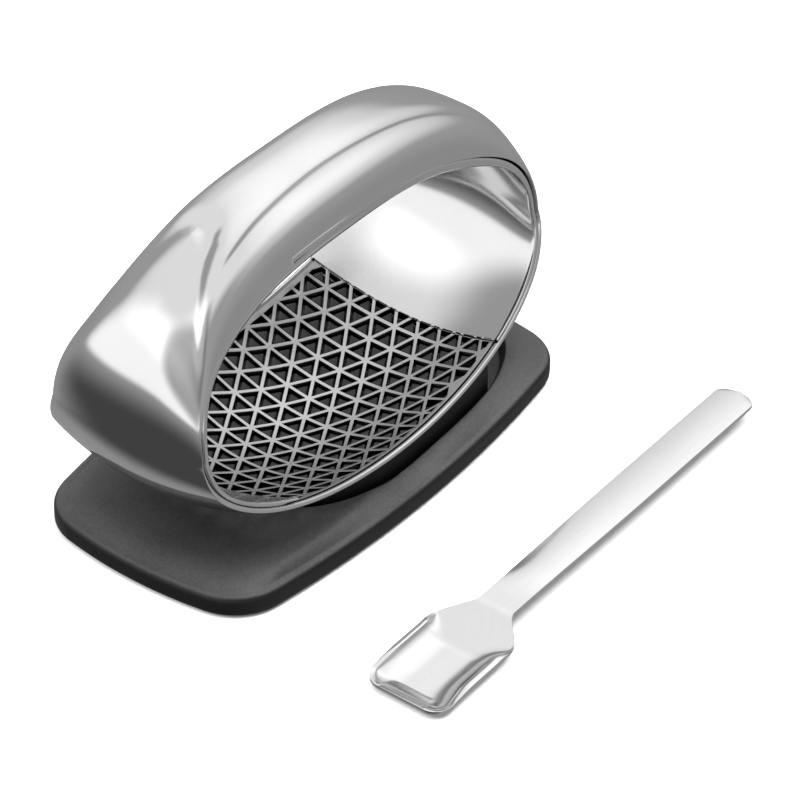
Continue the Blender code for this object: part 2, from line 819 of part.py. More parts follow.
def build_pad(mat):
    ring = pad_outline()
    n = len(ring)
    verts = [(x, y, FLOOR) for x, y in ring] + [(x, y, FLOOR + PAD_T) for x, y in ring]
    faces = [tuple(range(n))[::-1], tuple(range(n, 2 * n))]
    for k in range(n):
        faces.append((k, (k + 1) % n, (k + 1) % n + n, k + n))
    return add_object("non_slip_pad", verts, faces, mat)


# ---------------------------------------------------------------- scoop

def scoop_half(s):
    """Half width at s along the scoop from the front rim."""
    length = SCOOP_X1 - SCOOP_X0
    wide = 0.5 * SCOOP_BOWL_W
    neck = 0.5 * SCOOP_NECK_W
    half = wide + (neck - wide) * smooth((s - SCOOP_BOWL_L + 4.0) / 9.0)
    if s < SCOOP_CORNER:
        half = wide - SCOOP_CORNER * (1.0 - math.sqrt(1.0 - (1.0 - s / SCOOP_CORNER) ** 2))
    half += (0.5 * SCOOP_HANDLE_W - neck) * smooth((s - SCOOP_BOWL_L - 5.0) / 50.0)
    tail = min(1.0, (length - s) / 3.2)
    return max(1.2, half * math.sqrt(max(0.0, 1.0 - (1.0 - tail) ** 2.4)))


def scoop_rim(s):
    """Height of the rim's outer edge above the floor of the scoop."""
    rim = SCOOP_FRONT + (SCOOP_SIDE - SCOOP_FRONT) * smooth(s / 12.0)
    return rim * (1.0 - smooth((s - SCOOP_BOWL_L + 8.0) / 9.0))


def edge_gap(s, y):
    """Distance in plan from the rim."""
    side = scoop_half(s) - abs(y)
    if s >= SCOOP_CORNER:
        return side
    qx = SCOOP_CORNER - s
    qy = max(0.0, abs(y) - 0.5 * SCOOP_BOWL_W + SCOOP_CORNER)
    return max(0.0, SCOOP_CORNER - math.hypot(qx, qy))


def scoop_curve(d, reach):
    """Quarter curve: 1 and upright at the rim, 0 and level at the reach."""
    t = min(1.0, d / reach)
    return 1.0 - math.sqrt(1.0 - (1.0 - t) ** 2)


def build_scoop(mat):
    length = SCOOP_X1 - SCOOP_X0
    stations = [0.0, 0.1, 0.4, 0.9, 1.6, 2.4, 3.3, 4.2]
    s = 6.0
    while s < 42.0:
        stations.append(s)
        s += 1.5
    stations += [length + d for d in (-76.0, -60.0, -44.0, -28.0, -12.0, -3.2, -2.2, -1.4, -0.8, -0.3, 0.0)]
    half_vs = [1.0, 0.985, 0.95, 0.9, 0.83, 0.74, 0.6, 0.4, 0.2]
    vs = [-v for v in half_vs] + [0.0] + half_vs[::-1]
    n_v = len(vs)
    verts = []
    for layer in range(2):
        for s in stations:
            half = scoop_half(s)
            rim = scoop_rim(s)
            lift = FLOOR + SCOOP_LIFT * smooth((s - 19.0) / 14.0)
            share = rim / SCOOP_SIDE
            for v in vs:
                d = edge_gap(s, v * half)
                if layer:
                    z = lift + SCOOP_T + (rim - SCOOP_T + 0.3) * share * scoop_curve(d, SCOOP_HOLLOW)
                    x = s + SCOOP_T * max(0.0, 1.0 - s / 6.0)
                    y = v * (half - SCOOP_T * min(1.0, share))
                else:
                    z = lift + rim * scoop_curve(d, SCOOP_BEND)
                    x = s
                    y = v * half
                verts.append((SCOOP_X0 + x, SCOOP_Y + y, z))
    n_s = len(stations)

    def vid(layer, i, j):
        return layer * n_s * n_v + i * n_v + j

    faces = []
    for i in range(n_s - 1):
        for j in range(n_v - 1):
            faces.append((vid(1, i, j), vid(1, i + 1, j), vid(1, i + 1, j + 1), vid(1, i, j + 1)))
            faces.append((vid(0, i, j), vid(0, i, j + 1), vid(0, i + 1, j + 1), vid(0, i + 1, j)))
        faces.append((vid(0, i, 0), vid(0, i + 1, 0), vid(1, i + 1, 0), vid(1, i, 0)))
        faces.append((vid(0, i, n_v - 1), vid(1, i, n_v - 1), vid(1, i + 1, n_v - 1), vid(0, i + 1, n_v - 1)))
    for j in range(n_v - 1):
        faces.append((vid(0, 0, j), vid(1, 0, j), vid(1, 0, j + 1), vid(0, 0, j + 1)))
        faces.append((vid(0, n_s - 1, j), vid(0, n_s - 1, j + 1), vid(1, n_s - 1, j + 1), vid(1, n_s - 1, j)))
    return add_object("scoop", verts, faces, mat, 35)


def main():
    clear_scene()
    steel = (0.60, 0.60, 0.60)
    build_shell(material("polished_shell", steel, 1.0, 0.08))
    build_liner(material("polished_liner", steel, 1.0, 0.10))
    build_plate(material("plate_steel", steel, 1.0, 0.25))
    build_tray(material("black_plastic", (0.035, 0.035, 0.035), 0.0, 0.55))
    build_pad(material("pad_rubber", (0.02, 0.02, 0.02), 0.0, 0.9))
    build_scoop(material("scoop_steel", steel, 1.0, 0.12))


main()
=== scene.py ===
"""Looks of a rocking garlic press: polished loop on a black tray with cleaning studs, and a scoop.

All lengths are worked out in millimetres in the part's own frame and put into meshes in metres.
"""
import math

import bpy
import bmesh
import numpy as np
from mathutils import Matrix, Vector


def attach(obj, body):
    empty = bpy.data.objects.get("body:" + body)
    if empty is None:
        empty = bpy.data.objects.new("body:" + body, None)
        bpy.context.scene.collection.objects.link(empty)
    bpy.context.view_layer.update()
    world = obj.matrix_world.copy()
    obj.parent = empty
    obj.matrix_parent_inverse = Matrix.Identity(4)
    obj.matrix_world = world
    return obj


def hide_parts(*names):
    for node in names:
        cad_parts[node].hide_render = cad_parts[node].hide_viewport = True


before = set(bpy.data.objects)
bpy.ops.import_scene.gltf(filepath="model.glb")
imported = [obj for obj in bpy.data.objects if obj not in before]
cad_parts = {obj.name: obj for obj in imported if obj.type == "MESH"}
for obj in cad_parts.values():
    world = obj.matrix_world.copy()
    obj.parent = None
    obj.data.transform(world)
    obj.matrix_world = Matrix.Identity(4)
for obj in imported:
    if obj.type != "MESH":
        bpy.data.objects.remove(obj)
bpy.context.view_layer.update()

MM = 0.001
TAU = 2.0 * math.pi

# press loop, as in the solids
LOOP_A = 61.3
LOOP_B = 34.9
LOOP_X = -1.5
TOP_POWER = 2.69
HALF_TOP = 12.2
HALF_END = 19.8
HALF_BOTTOM = 28.0
DROP_TOP = 9.6
DROP_END = 1.8
DROP_BOTTOM = 8.6
HANDLE_FROM = 30.0
HANDLE_FADE = 87.0
SHELL_T = 1.2
LINER_T = 1.0
GAP = 0.3
LINER_ARCH = 3.4
LINER_INSET = 0.45        # liner's edge in from the shell's
LINER_LIP = 1.2           # how far its outer edge is rolled back on the handle
RIM_STRIP = 1.2
PLATE_HALF_L = 39.0
PLATE_T = 1.8
TRAY_TOP = 5.5
LOOP_Z0 = TRAY_TOP - 0.6
LOOP_ZC = LOOP_Z0 + LOOP_B

# crease along the handle's near side, as distance from the opening edge against degrees from the top
CREASE_AT = (-60.0, -50.0, -41.0, -32.0, -26.0, -20.0, -15.0, -6.0, 0.0, 20.0, 40.0, 60.0, 84.0)
CREASE_EDGE = (2.2, 3.2, 4.4, 5.8, 6.8, 7.6, 8.2, 9.0, 9.6, 8.0, 5.6, 3.0, 0.0)
CREASE_DEPTH = 0.75
CREASE_NEAR = 2.6         # reach of its slope towards the opening
CREASE_FAR = 1.0          # and towards the crown

# rounded end cap that reaches up over the handle: share of half width against degrees from the top
CAP_AT = (21.5, 22.5, 25.0, 29.0, 34.0, 39.0, 44.0, 49.0, 54.0, 61.0, 70.0, 76.0, 82.0)
CAP_NEAR = (-0.30, -0.08, 0.06, 0.18, 0.32, 0.47, 0.59, 0.69, 0.76, 0.85, 0.93, 0.97, 1.0)
CAP_FAR = (0.30, 0.44, 0.55, 0.60, 0.63, 0.66, 0.69, 0.73, 0.78, 0.85, 0.93, 0.97, 1.0)
CAP_VALLEY = 1.25
CROWN_RISE = 1.1          # extra height of the handle's far side at the top

# pattern of the plate
PITCH = 6.04
ROW = 5.5
BAR = 0.8
LATTICE_U = 1.49
LATTICE_V = 1.06
STUD_CLEAR = 0.50
STUD_BELOW = 0.5
STUD_ROOT = 0.5           # how deep each stud stands in the cradle
STUD_LEAST = 0.9          # least top area of a trimmed stud, in square millimetres
POCKET_GAP = 0.35

# tray
TRAY_L = 120.0
TRAY_W = 66.4
TRAY_Z0 = 0.5
TRAY_CORNER = 13.6
TRAY_BOW_END = 1.4
TRAY_BOW_SIDE = 3.6
TRAY_EDGE_LOW = 1.0
TRAY_EDGE_TOP = 1.5
TRAY_CROWN = 2.0
CROWN_RUN = 8.0

# pocket, egg-shaped in plan
POCKET_X = -2.0
POCKET_RIGHT = 56.0
POCKET_LEFT = 30.0
POCKET_HALF_W = 27.0
POCKET_FAR_W = 28.6       # the same on the +Y side
POCKET_POWER_R = 3.0
POCKET_POWER_L = 2.2
POCKET_EASE = 0.5
POCKET_FLOOR = TRAY_TOP - 1.4
CRADLE_HALF_L = 38.8
CRADLE_INSET = 0.3

# scoop
SCOOP_X0 = -55.9
SCOOP_X1 = 68.2
SCOOP_Y = -67.1
SCOOP_T = 1.2
SCOOP_BOWL_L = 28.2
SCOOP_WIDE = 9.9
SCOOP_CORNER = 4.2
SCOOP_FRONT = 2.5
SCOOP_SIDE = 3.4
SCOOP_BEND = 2.6
SCOOP_HOLLOW = 7.0
SCOOP_LIFT = 3.6
SCOOP_NECK = 4.1
SCOOP_HANDLE = 4.6
SCOOP_LIFTED_FROM = 19.0
SCOOP_LIFT_RUN = 14.0
SCOOP_TAIL = 3.0
SCOOP_CROWN = 0.35

# camera: where it looks from in degrees, its distance in metres, lens in millimetres, shift
VIEW_AZIMUTH = -51.83
VIEW_ELEVATION = 37.67
VIEW_DISTANCE = 0.78125
VIEW_LENS = 161.73
VIEW_SHIFT = (0.1144, 0.0290)

# studio
DARK_PANEL_WAY = (-0.55, -0.55, 0.63)
FLOOR_HALF = 2.5          # metres


# ------------------------------------------------------------------ camera and light

def look_from(azimuth, elevation):
    """Unit vector from the object towards a viewer at that azimuth and elevation."""
    a = math.radians(azimuth)
    e = math.radians(elevation)
    return Vector((math.sin(a) * math.cos(e), -math.cos(a) * math.cos(e), math.sin(e)))


def add_camera():
    """Long lens aimed at the middle of the tray's top."""
    data = bpy.data.cameras.new("camera")
    cam = bpy.data.objects.new("camera", data)
    bpy.context.scene.collection.objects.link(cam)
    aim = Vector((0.0, 0.0, TRAY_TOP * MM))
    away = look_from(VIEW_AZIMUTH, VIEW_ELEVATION)
    cam.location = aim + away * VIEW_DISTANCE
    cam.rotation_euler = away.to_track_quat("Z", "Y").to_euler()
    data.lens = VIEW_LENS
    data.sensor_width = 36.0
    data.shift_x, data.shift_y = VIEW_SHIFT
    data.clip_start = 0.02
    bpy.context.scene.camera = cam


def softbox(name, azimuth, elevation, distance, width, height, power):
    """Rectangular area light that faces the middle of the object; polished metal does not mirror it."""
    data = bpy.data.lights.new(name, "AREA")
    data.shape = "RECTANGLE"
    data.size = width
    data.size_y = height
    data.energy = power
    lamp = bpy.data.objects.new(name, data)
    lamp.visible_glossy = False
    bpy.context.scene.collection.objects.link(lamp)
    way = look_from(azimuth, elevation)
    lamp.location = Vector((0.0, -0.02, 0.03)) + way * distance
    lamp.rotation_euler = way.to_track_quat("Z", "Y").to_euler()
    return lamp


def add_sky():
    """Grey sky, brighter overhead, with a bright panel to the right, a wide one to the left and a dark
    one behind the viewer; each is a product of smooth steps in the direction's parts."""
    world = bpy.data.worlds.new("studio")
    bpy.context.scene.world = world
    world.use_nodes = True
    tree = world.node_tree
    tree.nodes.clear()
    out = tree.nodes.new("ShaderNodeOutputWorld")
    sky = tree.nodes.new("ShaderNodeBackground")
    coord = tree.nodes.new("ShaderNodeTexCoord")
    split = tree.nodes.new("ShaderNodeSeparateXYZ")
    tree.links.new(coord.outputs["Generated"], split.inputs[0])

    def step(value, start, end, low, high):
        """Smooth step from low to high as value goes from start to end."""
        made = tree.nodes.new("ShaderNodeMapRange")
        made.interpolation_type = "SMOOTHSTEP"
        for label, number in zip(("From Min", "From Max", "To Min", "To Max"), (start, end, low, high)):
            made.inputs[label].default_value = number
        tree.links.new(value, made.inputs["Value"])
        return made.outputs["Result"]

    x = split.outputs["X"]
    z = split.outputs["Z"]
    grey = math_node(tree, "ADD", step(z, -0.3, 0.3, 0.34, 0.42), step(z, 0.50, 0.85, 0.0, 0.55))
    low_left = math_node(tree, "MULTIPLY", step(x, -0.55, -0.1, 0.80, 0.0), step(z, -0.45, 0.04, 1.0, 0.0))
    grey = math_node(tree, "MULTIPLY", grey, math_node(tree, "SUBTRACT", 1.0, low_left))
    right = math_node(tree, "MULTIPLY", step(x, 0.32, 0.66, 0.0, 0.44), step(z, 0.22, 0.55, 0.0, 1.0))
    left = math_node(tree, "MULTIPLY", step(x, -0.55, -0.10, 0.85, 0.0), step(z, -0.03, 0.10, 0.0, 1.0))
    total = math_node(tree, "ADD", math_node(tree, "ADD", grey, right), left)
    behind = node(tree, "ShaderNodeVectorMath", operation="DOT_PRODUCT")
    behind.inputs[1].default_value = DARK_PANEL_WAY
    tree.links.new(coord.outputs["Generated"], behind.inputs[0])
    total = math_node(tree, "MULTIPLY", total, step(behind.outputs["Value"], 0.76, 0.95, 1.0, 0.38))
    tone = tree.nodes.new("ShaderNodeCombineColor")
    for k in range(3):
        tree.links.new(total, tone.inputs[k])
    tree.links.new(tone.outputs[0], sky.inputs[0])
    tree.links.new(sky.outputs[0], out.inputs[0])


def add_lights():
    """Three softboxes: overhead, left and right."""
    softbox("top_light", 20.0, 80.0, 0.80, 0.70, 0.70, 10.0)
    softbox("left_light", -110.0, 40.0, 0.85, 0.5, 0.6, 3.5)
    softbox("right_light", 70.0, 40.0, 0.95, 0.5, 0.6, 3.0)


def add_floor():
    """Pale matte floor that polished metal does not mirror."""
    mesh = bpy.data.meshes.new("floor")
    r = FLOOR_HALF
    mesh.from_pydata([(-r, -r, 0.0), (r, -r, 0.0), (r, r, 0.0), (-r, r, 0.0)], [], [(0, 1, 2, 3)])
    floor = bpy.data.objects.new("floor", mesh)
    floor.visible_glossy = False
    bpy.context.scene.collection.objects.link(floor)
    mat = bpy.data.materials.new("pale_floor")
    mat.use_nodes = True
    bsdf = mat.node_tree.nodes["Principled BSDF"]
    bsdf.inputs["Base Color"].default_value = (0.93, 0.93, 0.93, 1.0)
    bsdf.inputs["Roughness"].default_value = 0.9
    bsdf.inputs["Specular IOR Level"].default_value = 0.1
    mesh.materials.append(mat)


# ------------------------------------------------------------------ shader groups

def new_group(name, inputs, outputs):
    """Empty shader group with named float inputs and named outputs."""
    group = bpy.data.node_groups.new(name, "ShaderNodeTree")
    for label, value in inputs:
        sock = group.interface.new_socket(label, in_out="INPUT", socket_type="NodeSocketFloat")
        sock.default_value = value
    for label, kind in outputs:
        group.interface.new_socket(label, in_out="OUTPUT", socket_type=kind)
    start = group.nodes.new("NodeGroupInput")
    end = group.nodes.new("NodeGroupOutput")
    return group, start, end


def node(tree, kind, **values):
    """New shader node with some of its settings."""
    made = tree.nodes.new(kind)
    for key, value in values.items():
        setattr(made, key, value)
    return made


def math_node(tree, operation, a, b):
    """Result of one sum; a and b are numbers or sockets."""
    made = node(tree, "ShaderNodeMath", operation=operation)
    for socket, value in zip(made.inputs, (a, b)):
        if isinstance(value, (int, float)):
            socket.default_value = value
        else:
            tree.links.new(value, socket)
    return made.outputs[0]


def polish_group():
    """Polished metal: cloudy smears and hair-fine rubbing lines, as a value and a height."""
    group, start, end = new_group(
        "polish_marks",
        [("Smear Size", 60.0), ("Line Size", 900.0), ("Smear", 0.5), ("Lines", 0.5)],
        [("Roughness Shift", "NodeSocketFloat"), ("Height", "NodeSocketFloat")])
    coord = node(group, "ShaderNodeTexCoord")
    smear = node(group, "ShaderNodeTexNoise")
    smear.inputs["Detail"].default_value = 4.0
    group.links.new(coord.outputs["Object"], smear.inputs["Vector"])
    group.links.new(start.outputs["Smear Size"], smear.inputs["Scale"])
    stretch = node(group, "ShaderNodeMapping")
    stretch.inputs["Scale"].default_value = (0.05, 1.0, 1.0)
    lines = node(group, "ShaderNodeTexNoise")
    lines.inputs["Detail"].default_value = 2.0
    group.links.new(coord.outputs["Object"], stretch.inputs["Vector"])
    group.links.new(stretch.outputs[0], lines.inputs["Vector"])
    group.links.new(start.outputs["Line Size"], lines.inputs["Scale"])
    a = math_node(group, "SUBTRACT", smear.outputs["Fac"], 0.5)
    a = math_node(group, "MULTIPLY", a, start.outputs["Smear"])
    b = math_node(group, "SUBTRACT", lines.outputs["Fac"], 0.5)
    b = math_node(group, "MULTIPLY", b, start.outputs["Lines"])
    group.links.new(math_node(group, "ADD", a, b), end.inputs["Roughness Shift"])
    group.links.new(b, end.inputs["Height"])
    return group


def grain_group():
    """Moulded grain: fine pits over broad, faint mottling."""
    group, start, end = new_group(
        "moulded_grain",
        [("Grain Size", 2600.0), ("Mottle Size", 45.0), ("Contrast", 0.3)],
        [("Height", "NodeSocketFloat"), ("Shade", "NodeSocketFloat")])
    coord = node(group, "ShaderNodeTexCoord")
    fine = node(group, "ShaderNodeTexNoise")
    fine.inputs["Detail"].default_value = 3.0
    fine.inputs["Roughness"].default_value = 0.65
    broad = node(group, "ShaderNodeTexNoise")
    broad.inputs["Detail"].default_value = 5.0
    for tex, size in ((fine, "Grain Size"), (broad, "Mottle Size")):
        group.links.new(coord.outputs["Object"], tex.inputs["Vector"])
        group.links.new(start.outputs[size], tex.inputs["Scale"])
    group.links.new(fine.outputs["Fac"], end.inputs["Height"])
    both = math_node(group, "ADD", fine.outputs["Fac"], broad.outputs["Fac"])
    both = math_node(group, "SUBTRACT", both, 1.0)
    both = math_node(group, "MULTIPLY", both, start.outputs["Contrast"])
    group.links.new(math_node(group, "ADD", both, 0.5), end.inputs["Shade"])
    return group


def level_group():
    """1 where a face lies roughly level, 0 where it stands upright, from its normal's upward part; the mask
    for painted shade on upright faces.
    """
    group, start, end = new_group("level_faces", [("Upright", 0.45), ("Level", 0.75)],
                                  [("Level Share", "NodeSocketFloat")])
    coord = node(group, "ShaderNodeTexCoord")
    split = node(group, "ShaderNodeSeparateXYZ")
    share = node(group, "ShaderNodeMapRange", interpolation_type="SMOOTHSTEP")
    group.links.new(coord.outputs["Normal"], split.inputs[0])
    group.links.new(math_node(group, "ABSOLUTE", split.outputs["Z"], 0.0), share.inputs["Value"])
    group.links.new(start.outputs["Upright"], share.inputs["From Min"])
    group.links.new(start.outputs["Level"], share.inputs["From Max"])
    group.links.new(share.outputs["Result"], end.inputs["Level Share"])
    return group


POLISH = polish_group()
GRAIN = grain_group()
LEVEL = level_group()


def place_group(tree, group, **values):
    """A shader group in a material, with its own values."""
    made = tree.nodes.new("ShaderNodeGroup")
    made.node_tree = group
    for key, value in values.items():
        made.inputs[key.replace("_", " ")].default_value = value
    return made


def metal(name, shade, roughness, spread, bump, wall=None, **marks):
    """Polished steel whose roughness wanders by spread; wall, if given, is a painted shade: a flat grey for
    upright faces, darker than the steel, in place of the shade that falls on them.
    """
    mat = bpy.data.materials.new(name)
    mat.use_nodes = True
    tree = mat.node_tree
    bsdf = tree.nodes["Principled BSDF"]
    bsdf.inputs["Metallic"].default_value = 1.0
    group = place_group(tree, POLISH, **marks)
    rough = math_node(tree, "MULTIPLY", group.outputs["Roughness Shift"], spread)
    rough = math_node(tree, "ADD", rough, roughness)
    tree.links.new(rough, bsdf.inputs["Roughness"])
    tone = node(tree, "ShaderNodeMapRange")
    tone.inputs["From Min"].default_value = -0.5
    tone.inputs["From Max"].default_value = 0.5
    tone.inputs["To Min"].default_value = shade + 0.02
    tone.inputs["To Max"].default_value = shade - 0.02
    tree.links.new(group.outputs["Roughness Shift"], tone.inputs["Value"])
    grey = node(tree, "ShaderNodeCombineColor")
    for k in range(3):
        tree.links.new(tone.outputs[0], grey.inputs[k])
    if wall is None:
        tree.links.new(grey.outputs[0], bsdf.inputs["Base Color"])
    else:
        # painted shade: upright faces take the flat dark wall grey instead of the steel's own shade
        share = place_group(tree, LEVEL)
        painted_wall_shade_mix = node(tree, "ShaderNodeMix", data_type="RGBA")
        painted_wall_shade_mix.inputs["A"].default_value = (wall, wall, wall, 1.0)
        tree.links.new(share.outputs["Level Share"], painted_wall_shade_mix.inputs["Factor"])
        tree.links.new(grey.outputs[0], painted_wall_shade_mix.inputs["B"])
        tree.links.new(painted_wall_shade_mix.outputs["Result"], bsdf.inputs["Base Color"])
    if bump:
        relief = node(tree, "ShaderNodeBump")
        relief.inputs["Strength"].default_value = bump
        relief.inputs["Distance"].default_value = 0.00002
        tree.links.new(group.outputs["Height"], relief.inputs["Height"])
        tree.links.new(relief.outputs[0], bsdf.inputs["Normal"])
    return mat


def plastic(name, dark, light, roughness, bump, specular=0.5, side=1.0, **grain):
    """Matte moulded plastic between two greys; side scales the colour of upright faces, and below 1 it paints
    shade on them.
    """
    mat = bpy.data.materials.new(name)
    mat.use_nodes = True
    tree = mat.node_tree
    bsdf = tree.nodes["Principled BSDF"]
    group = place_group(tree, GRAIN, **grain)
    ramp = node(tree, "ShaderNodeValToRGB")
    ramp.color_ramp.elements[0].color = (dark, dark, dark, 1.0)
    ramp.color_ramp.elements[1].color = (light, light, light, 1.0)
    tree.links.new(group.outputs["Shade"], ramp.inputs[0])
    # painted shade: upright faces have their colour scaled down by side
    share = place_group(tree, LEVEL, Upright=0.55, Level=0.97)
    scale = node(tree, "ShaderNodeMapRange")
    scale.inputs["To Min"].default_value = side
    tree.links.new(share.outputs["Level Share"], scale.inputs["Value"])
    colour_with_painted_side_shade = node(tree, "ShaderNodeVectorMath", operation="SCALE")
    tree.links.new(ramp.outputs[0], colour_with_painted_side_shade.inputs[0])
    tree.links.new(scale.outputs["Result"], colour_with_painted_side_shade.inputs["Scale"])
    tree.links.new(colour_with_painted_side_shade.outputs[0], bsdf.inputs["Base Color"])
    bsdf.inputs["Specular IOR Level"].default_value = specular
    rough = math_node(tree, "MULTIPLY", group.outputs["Shade"], 0.16)
    rough = math_node(tree, "ADD", rough, roughness - 0.08)
    tree.links.new(rough, bsdf.inputs["Roughness"])
    relief = node(tree, "ShaderNodeBump")
    relief.inputs["Strength"].default_value = bump
    relief.inputs["Distance"].default_value = 0.00006
    tree.links.new(group.outputs["Height"], relief.inputs["Height"])
    tree.links.new(relief.outputs[0], bsdf.inputs["Normal"])
    return mat


# ------------------------------------------------------------------ mesh helpers

def build(name, points, faces, mat, body, slot, *nodes, smooth_deg=40.0):
    """Piece from millimetre points (n, 3) and quads or triangles in arrays of indices."""
    mesh = bpy.data.meshes.new(name)
    loops = np.concatenate([f.reshape(-1) for f in faces]).astype(np.int32)
    sizes = np.concatenate([np.full(len(f), f.shape[1]) for f in faces]).astype(np.int32)
    starts = np.concatenate([[0], np.cumsum(sizes)[:-1]]).astype(np.int32)
    mesh.vertices.add(len(points))
    mesh.vertices.foreach_set("co", (np.asarray(points) * MM).astype(np.float32).ravel())
    mesh.loops.add(len(loops))
    mesh.loops.foreach_set("vertex_index", loops)
    mesh.polygons.add(len(sizes))
    mesh.polygons.foreach_set("loop_start", starts)
    mesh.update(calc_edges=True)
    mesh.validate()
    bm = bmesh.new()
    bm.from_mesh(mesh)
    bmesh.ops.remove_doubles(bm, verts=bm.verts, dist=1e-7)
    loose = [v for v in bm.verts if not v.link_faces]
    bmesh.ops.delete(bm, geom=loose, context="VERTS")
    bmesh.ops.recalc_face_normals(bm, faces=bm.faces)
    bm.to_mesh(mesh)
    bm.free()
    mesh.materials.append(mat)
    ob = bpy.data.objects.new(name, mesh)
    bpy.context.scene.collection.objects.link(ob)
    mesh.set_sharp_from_angle(angle=math.radians(smooth_deg))
    mesh.polygons.foreach_set("use_smooth", np.ones(len(mesh.polygons), bool))
    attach(ob, body)
    if nodes:
        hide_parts(*nodes)
    return ob


def quads(index, close_u=False, close_v=False, keep=None):
    """Quads between neighbouring entries of a 2-D array of point numbers."""
    a = index
    if close_u:
        a = np.concatenate([a, a[:1]], 0)
    if close_v:
        a = np.concatenate([a, a[:, :1]], 1)
    q = np.stack([a[:-1, :-1], a[1:, :-1], a[1:, 1:], a[:-1, 1:]], -1)
    if keep is not None:
        return q[keep]
    return q.reshape(-1, 4)


def smooth(t):
    """t^2 (3 - 2 t), held at 0 and 1 outside that range."""
    t = np.clip(t, 0.0, 1.0)
    return t * t * (3.0 - 2.0 * t)


# ------------------------------------------------------------------ press loop

def three_way(phi, top, end, bottom):
    """end + (top - bottom) / 2 * cos + ((top + bottom) / 2 - end) * cos squared."""
    c = np.cos(phi)
    return end + 0.5 * (top - bottom) * c + (0.5 * (top + bottom) - end) * c * c


def half_width(phi):
    """Half of the loop's width at an angle from its top."""
    return three_way(phi, HALF_TOP, HALF_END, HALF_BOTTOM)


def handle_share(phi):
    """1 on the handle, fading smoothly to 0 on the ends and the floor."""
    a = np.abs(np.degrees(phi))
    return 1.0 - smooth((a - HANDLE_FROM) / HANDLE_FADE)


def drop(phi):
    """How far the sheet's edges lie in from its middle."""
    k = handle_share(phi)
    return DROP_TOP * k + three_way(phi, DROP_END, DROP_END, DROP_BOTTOM) * (1.0 - k)


def on_loop(phi, y, depth):
    """Point at angle phi on the oval, y across it and depth in along the oval's normal.

    The oval is (A sin, B cos) below, and the same with a squarer power in its upper half.
    """
    c = np.cos(phi)
    s = np.sin(phi)
    n = np.where(c > 0.0, TOP_POWER, 2.0)
    x = LOOP_A * np.sign(s) * np.abs(s) ** (2.0 / n)
    z = LOOP_B * np.sign(c) * np.abs(c) ** (2.0 / n)
    nx = np.sign(x) * np.abs(x / LOOP_A) ** (n - 1.0) / LOOP_A
    nz = np.sign(z) * np.abs(z / LOOP_B) ** (n - 1.0) / LOOP_B
    length = np.hypot(nx, nz)
    y = y + 0.0 * x
    return np.stack([LOOP_X + x - depth * nx / length, y, LOOP_ZC + z - depth * nz / length], -1)


def bell(d, near, far):
    """exp(-(d / width) squared), one width for d below 0 and another above."""
    return np.exp(-(d / np.where(d < 0.0, near, far)) ** 2)


def cap_line():
    """Edge of the left end cap on the plain oval, from its near foot over the tip to its far foot."""
    a = np.radians(np.concatenate([CAP_AT[::-1], CAP_AT]))
    v = np.concatenate([-np.array(CAP_NEAR[::-1]), CAP_FAR])
    w = three_way(a, HALF_TOP, HALF_END, HALF_BOTTOM)
    return on_loop(-a, v * w, 0.0)


def cap_edge(phi, v):
    """Distance in millimetres to the end cap's edge, negative inside the cap."""
    here = on_loop(-np.abs(phi), v * half_width(phi), 0.0)
    line = cap_line()
    best = np.full(np.shape(v), 1e9)
    for p, q in zip(line[:-1], line[1:]):
        along = (q - p) / max(1e-9, float(((q - p) ** 2).sum()))
        t = np.clip(((here - p) * along).sum(-1), 0.0, 1.0)[..., None]
        best = np.minimum(best, np.linalg.norm(here - p - t * (q - p), axis=-1))
    a = np.abs(np.degrees(phi))
    inside = (v > -np.interp(a, CAP_AT, CAP_NEAR)) & (v < np.interp(a, CAP_AT, CAP_FAR)) & (a > CAP_AT[0])
    return np.where(inside, -best, best)


def crease_depth(phi, v):
    """Depth of the handle's crease and of the valley round the left end cap."""
    w = half_width(phi)
    deg = np.degrees(phi)
    a = np.abs(deg)
    edge = np.interp(deg, CREASE_AT, CREASE_EDGE)
    d = -v * w - (w - edge)
    fade = 1.0 - smooth((-deg - 18.0) / 24.0)
    fade = fade * (1.0 - smooth((deg - 50.0) / 30.0))
    crease = CREASE_DEPTH * fade * bell(d, CREASE_NEAR, CREASE_FAR)

    # the valley fades towards its foot, towards the far side and past the cap's tip
    valley = CAP_VALLEY * (1.0 - smooth((a - 52.0) / 30.0)) * (1.0 - 0.5 * smooth((v + 0.2) / 0.4))
    valley = valley * (1.0 - smooth((deg + 20.0) / 10.0))
    over_tip = smooth((v + 0.15) / 0.35)
    return crease + valley * bell(cap_edge(phi, v), 4.6 - 2.0 * over_tip, 1.9 + 1.7 * over_tip)


def shell_depth(phi, v):
    """Bull nose 1 - sqrt(1 - v^p) on the handle, fuller on its far side, v^2 barrel elsewhere, plus
    creases."""
    u = np.clip(np.abs(v), 0.0, 1.0)
    k = handle_share(phi)
    power = 4.0 + 3.5 * (v > 0.0) * (1.0 - smooth((np.abs(np.degrees(phi)) - 15.0) / 30.0))
    shape = (1.0 - np.sqrt(1.0 - u ** power)) * k + u * u * (1.0 - k)
    top = 1.0 - smooth((np.abs(np.degrees(phi)) - 4.0) / 30.0)
    return drop(phi) * shape + crease_depth(phi, v) - CROWN_RISE * top * smooth((v + 0.25) / 0.7)


def shell_point(phi, v):
    return on_loop(phi, v * half_width(phi), shell_depth(phi, v))


def floor_table():
    """Arc length along the floor from its middle, against the angle."""
    phi = np.linspace(math.pi, 0.5 * math.pi, 4001)
    step = np.hypot(LOOP_A * np.cos(phi), LOOP_B * np.sin(phi))
    arc = np.concatenate([[0.0], np.cumsum(0.5 * (step[1:] + step[:-1]) * -np.diff(phi))])
    return arc, phi


ARC, ARC_PHI = floor_table()


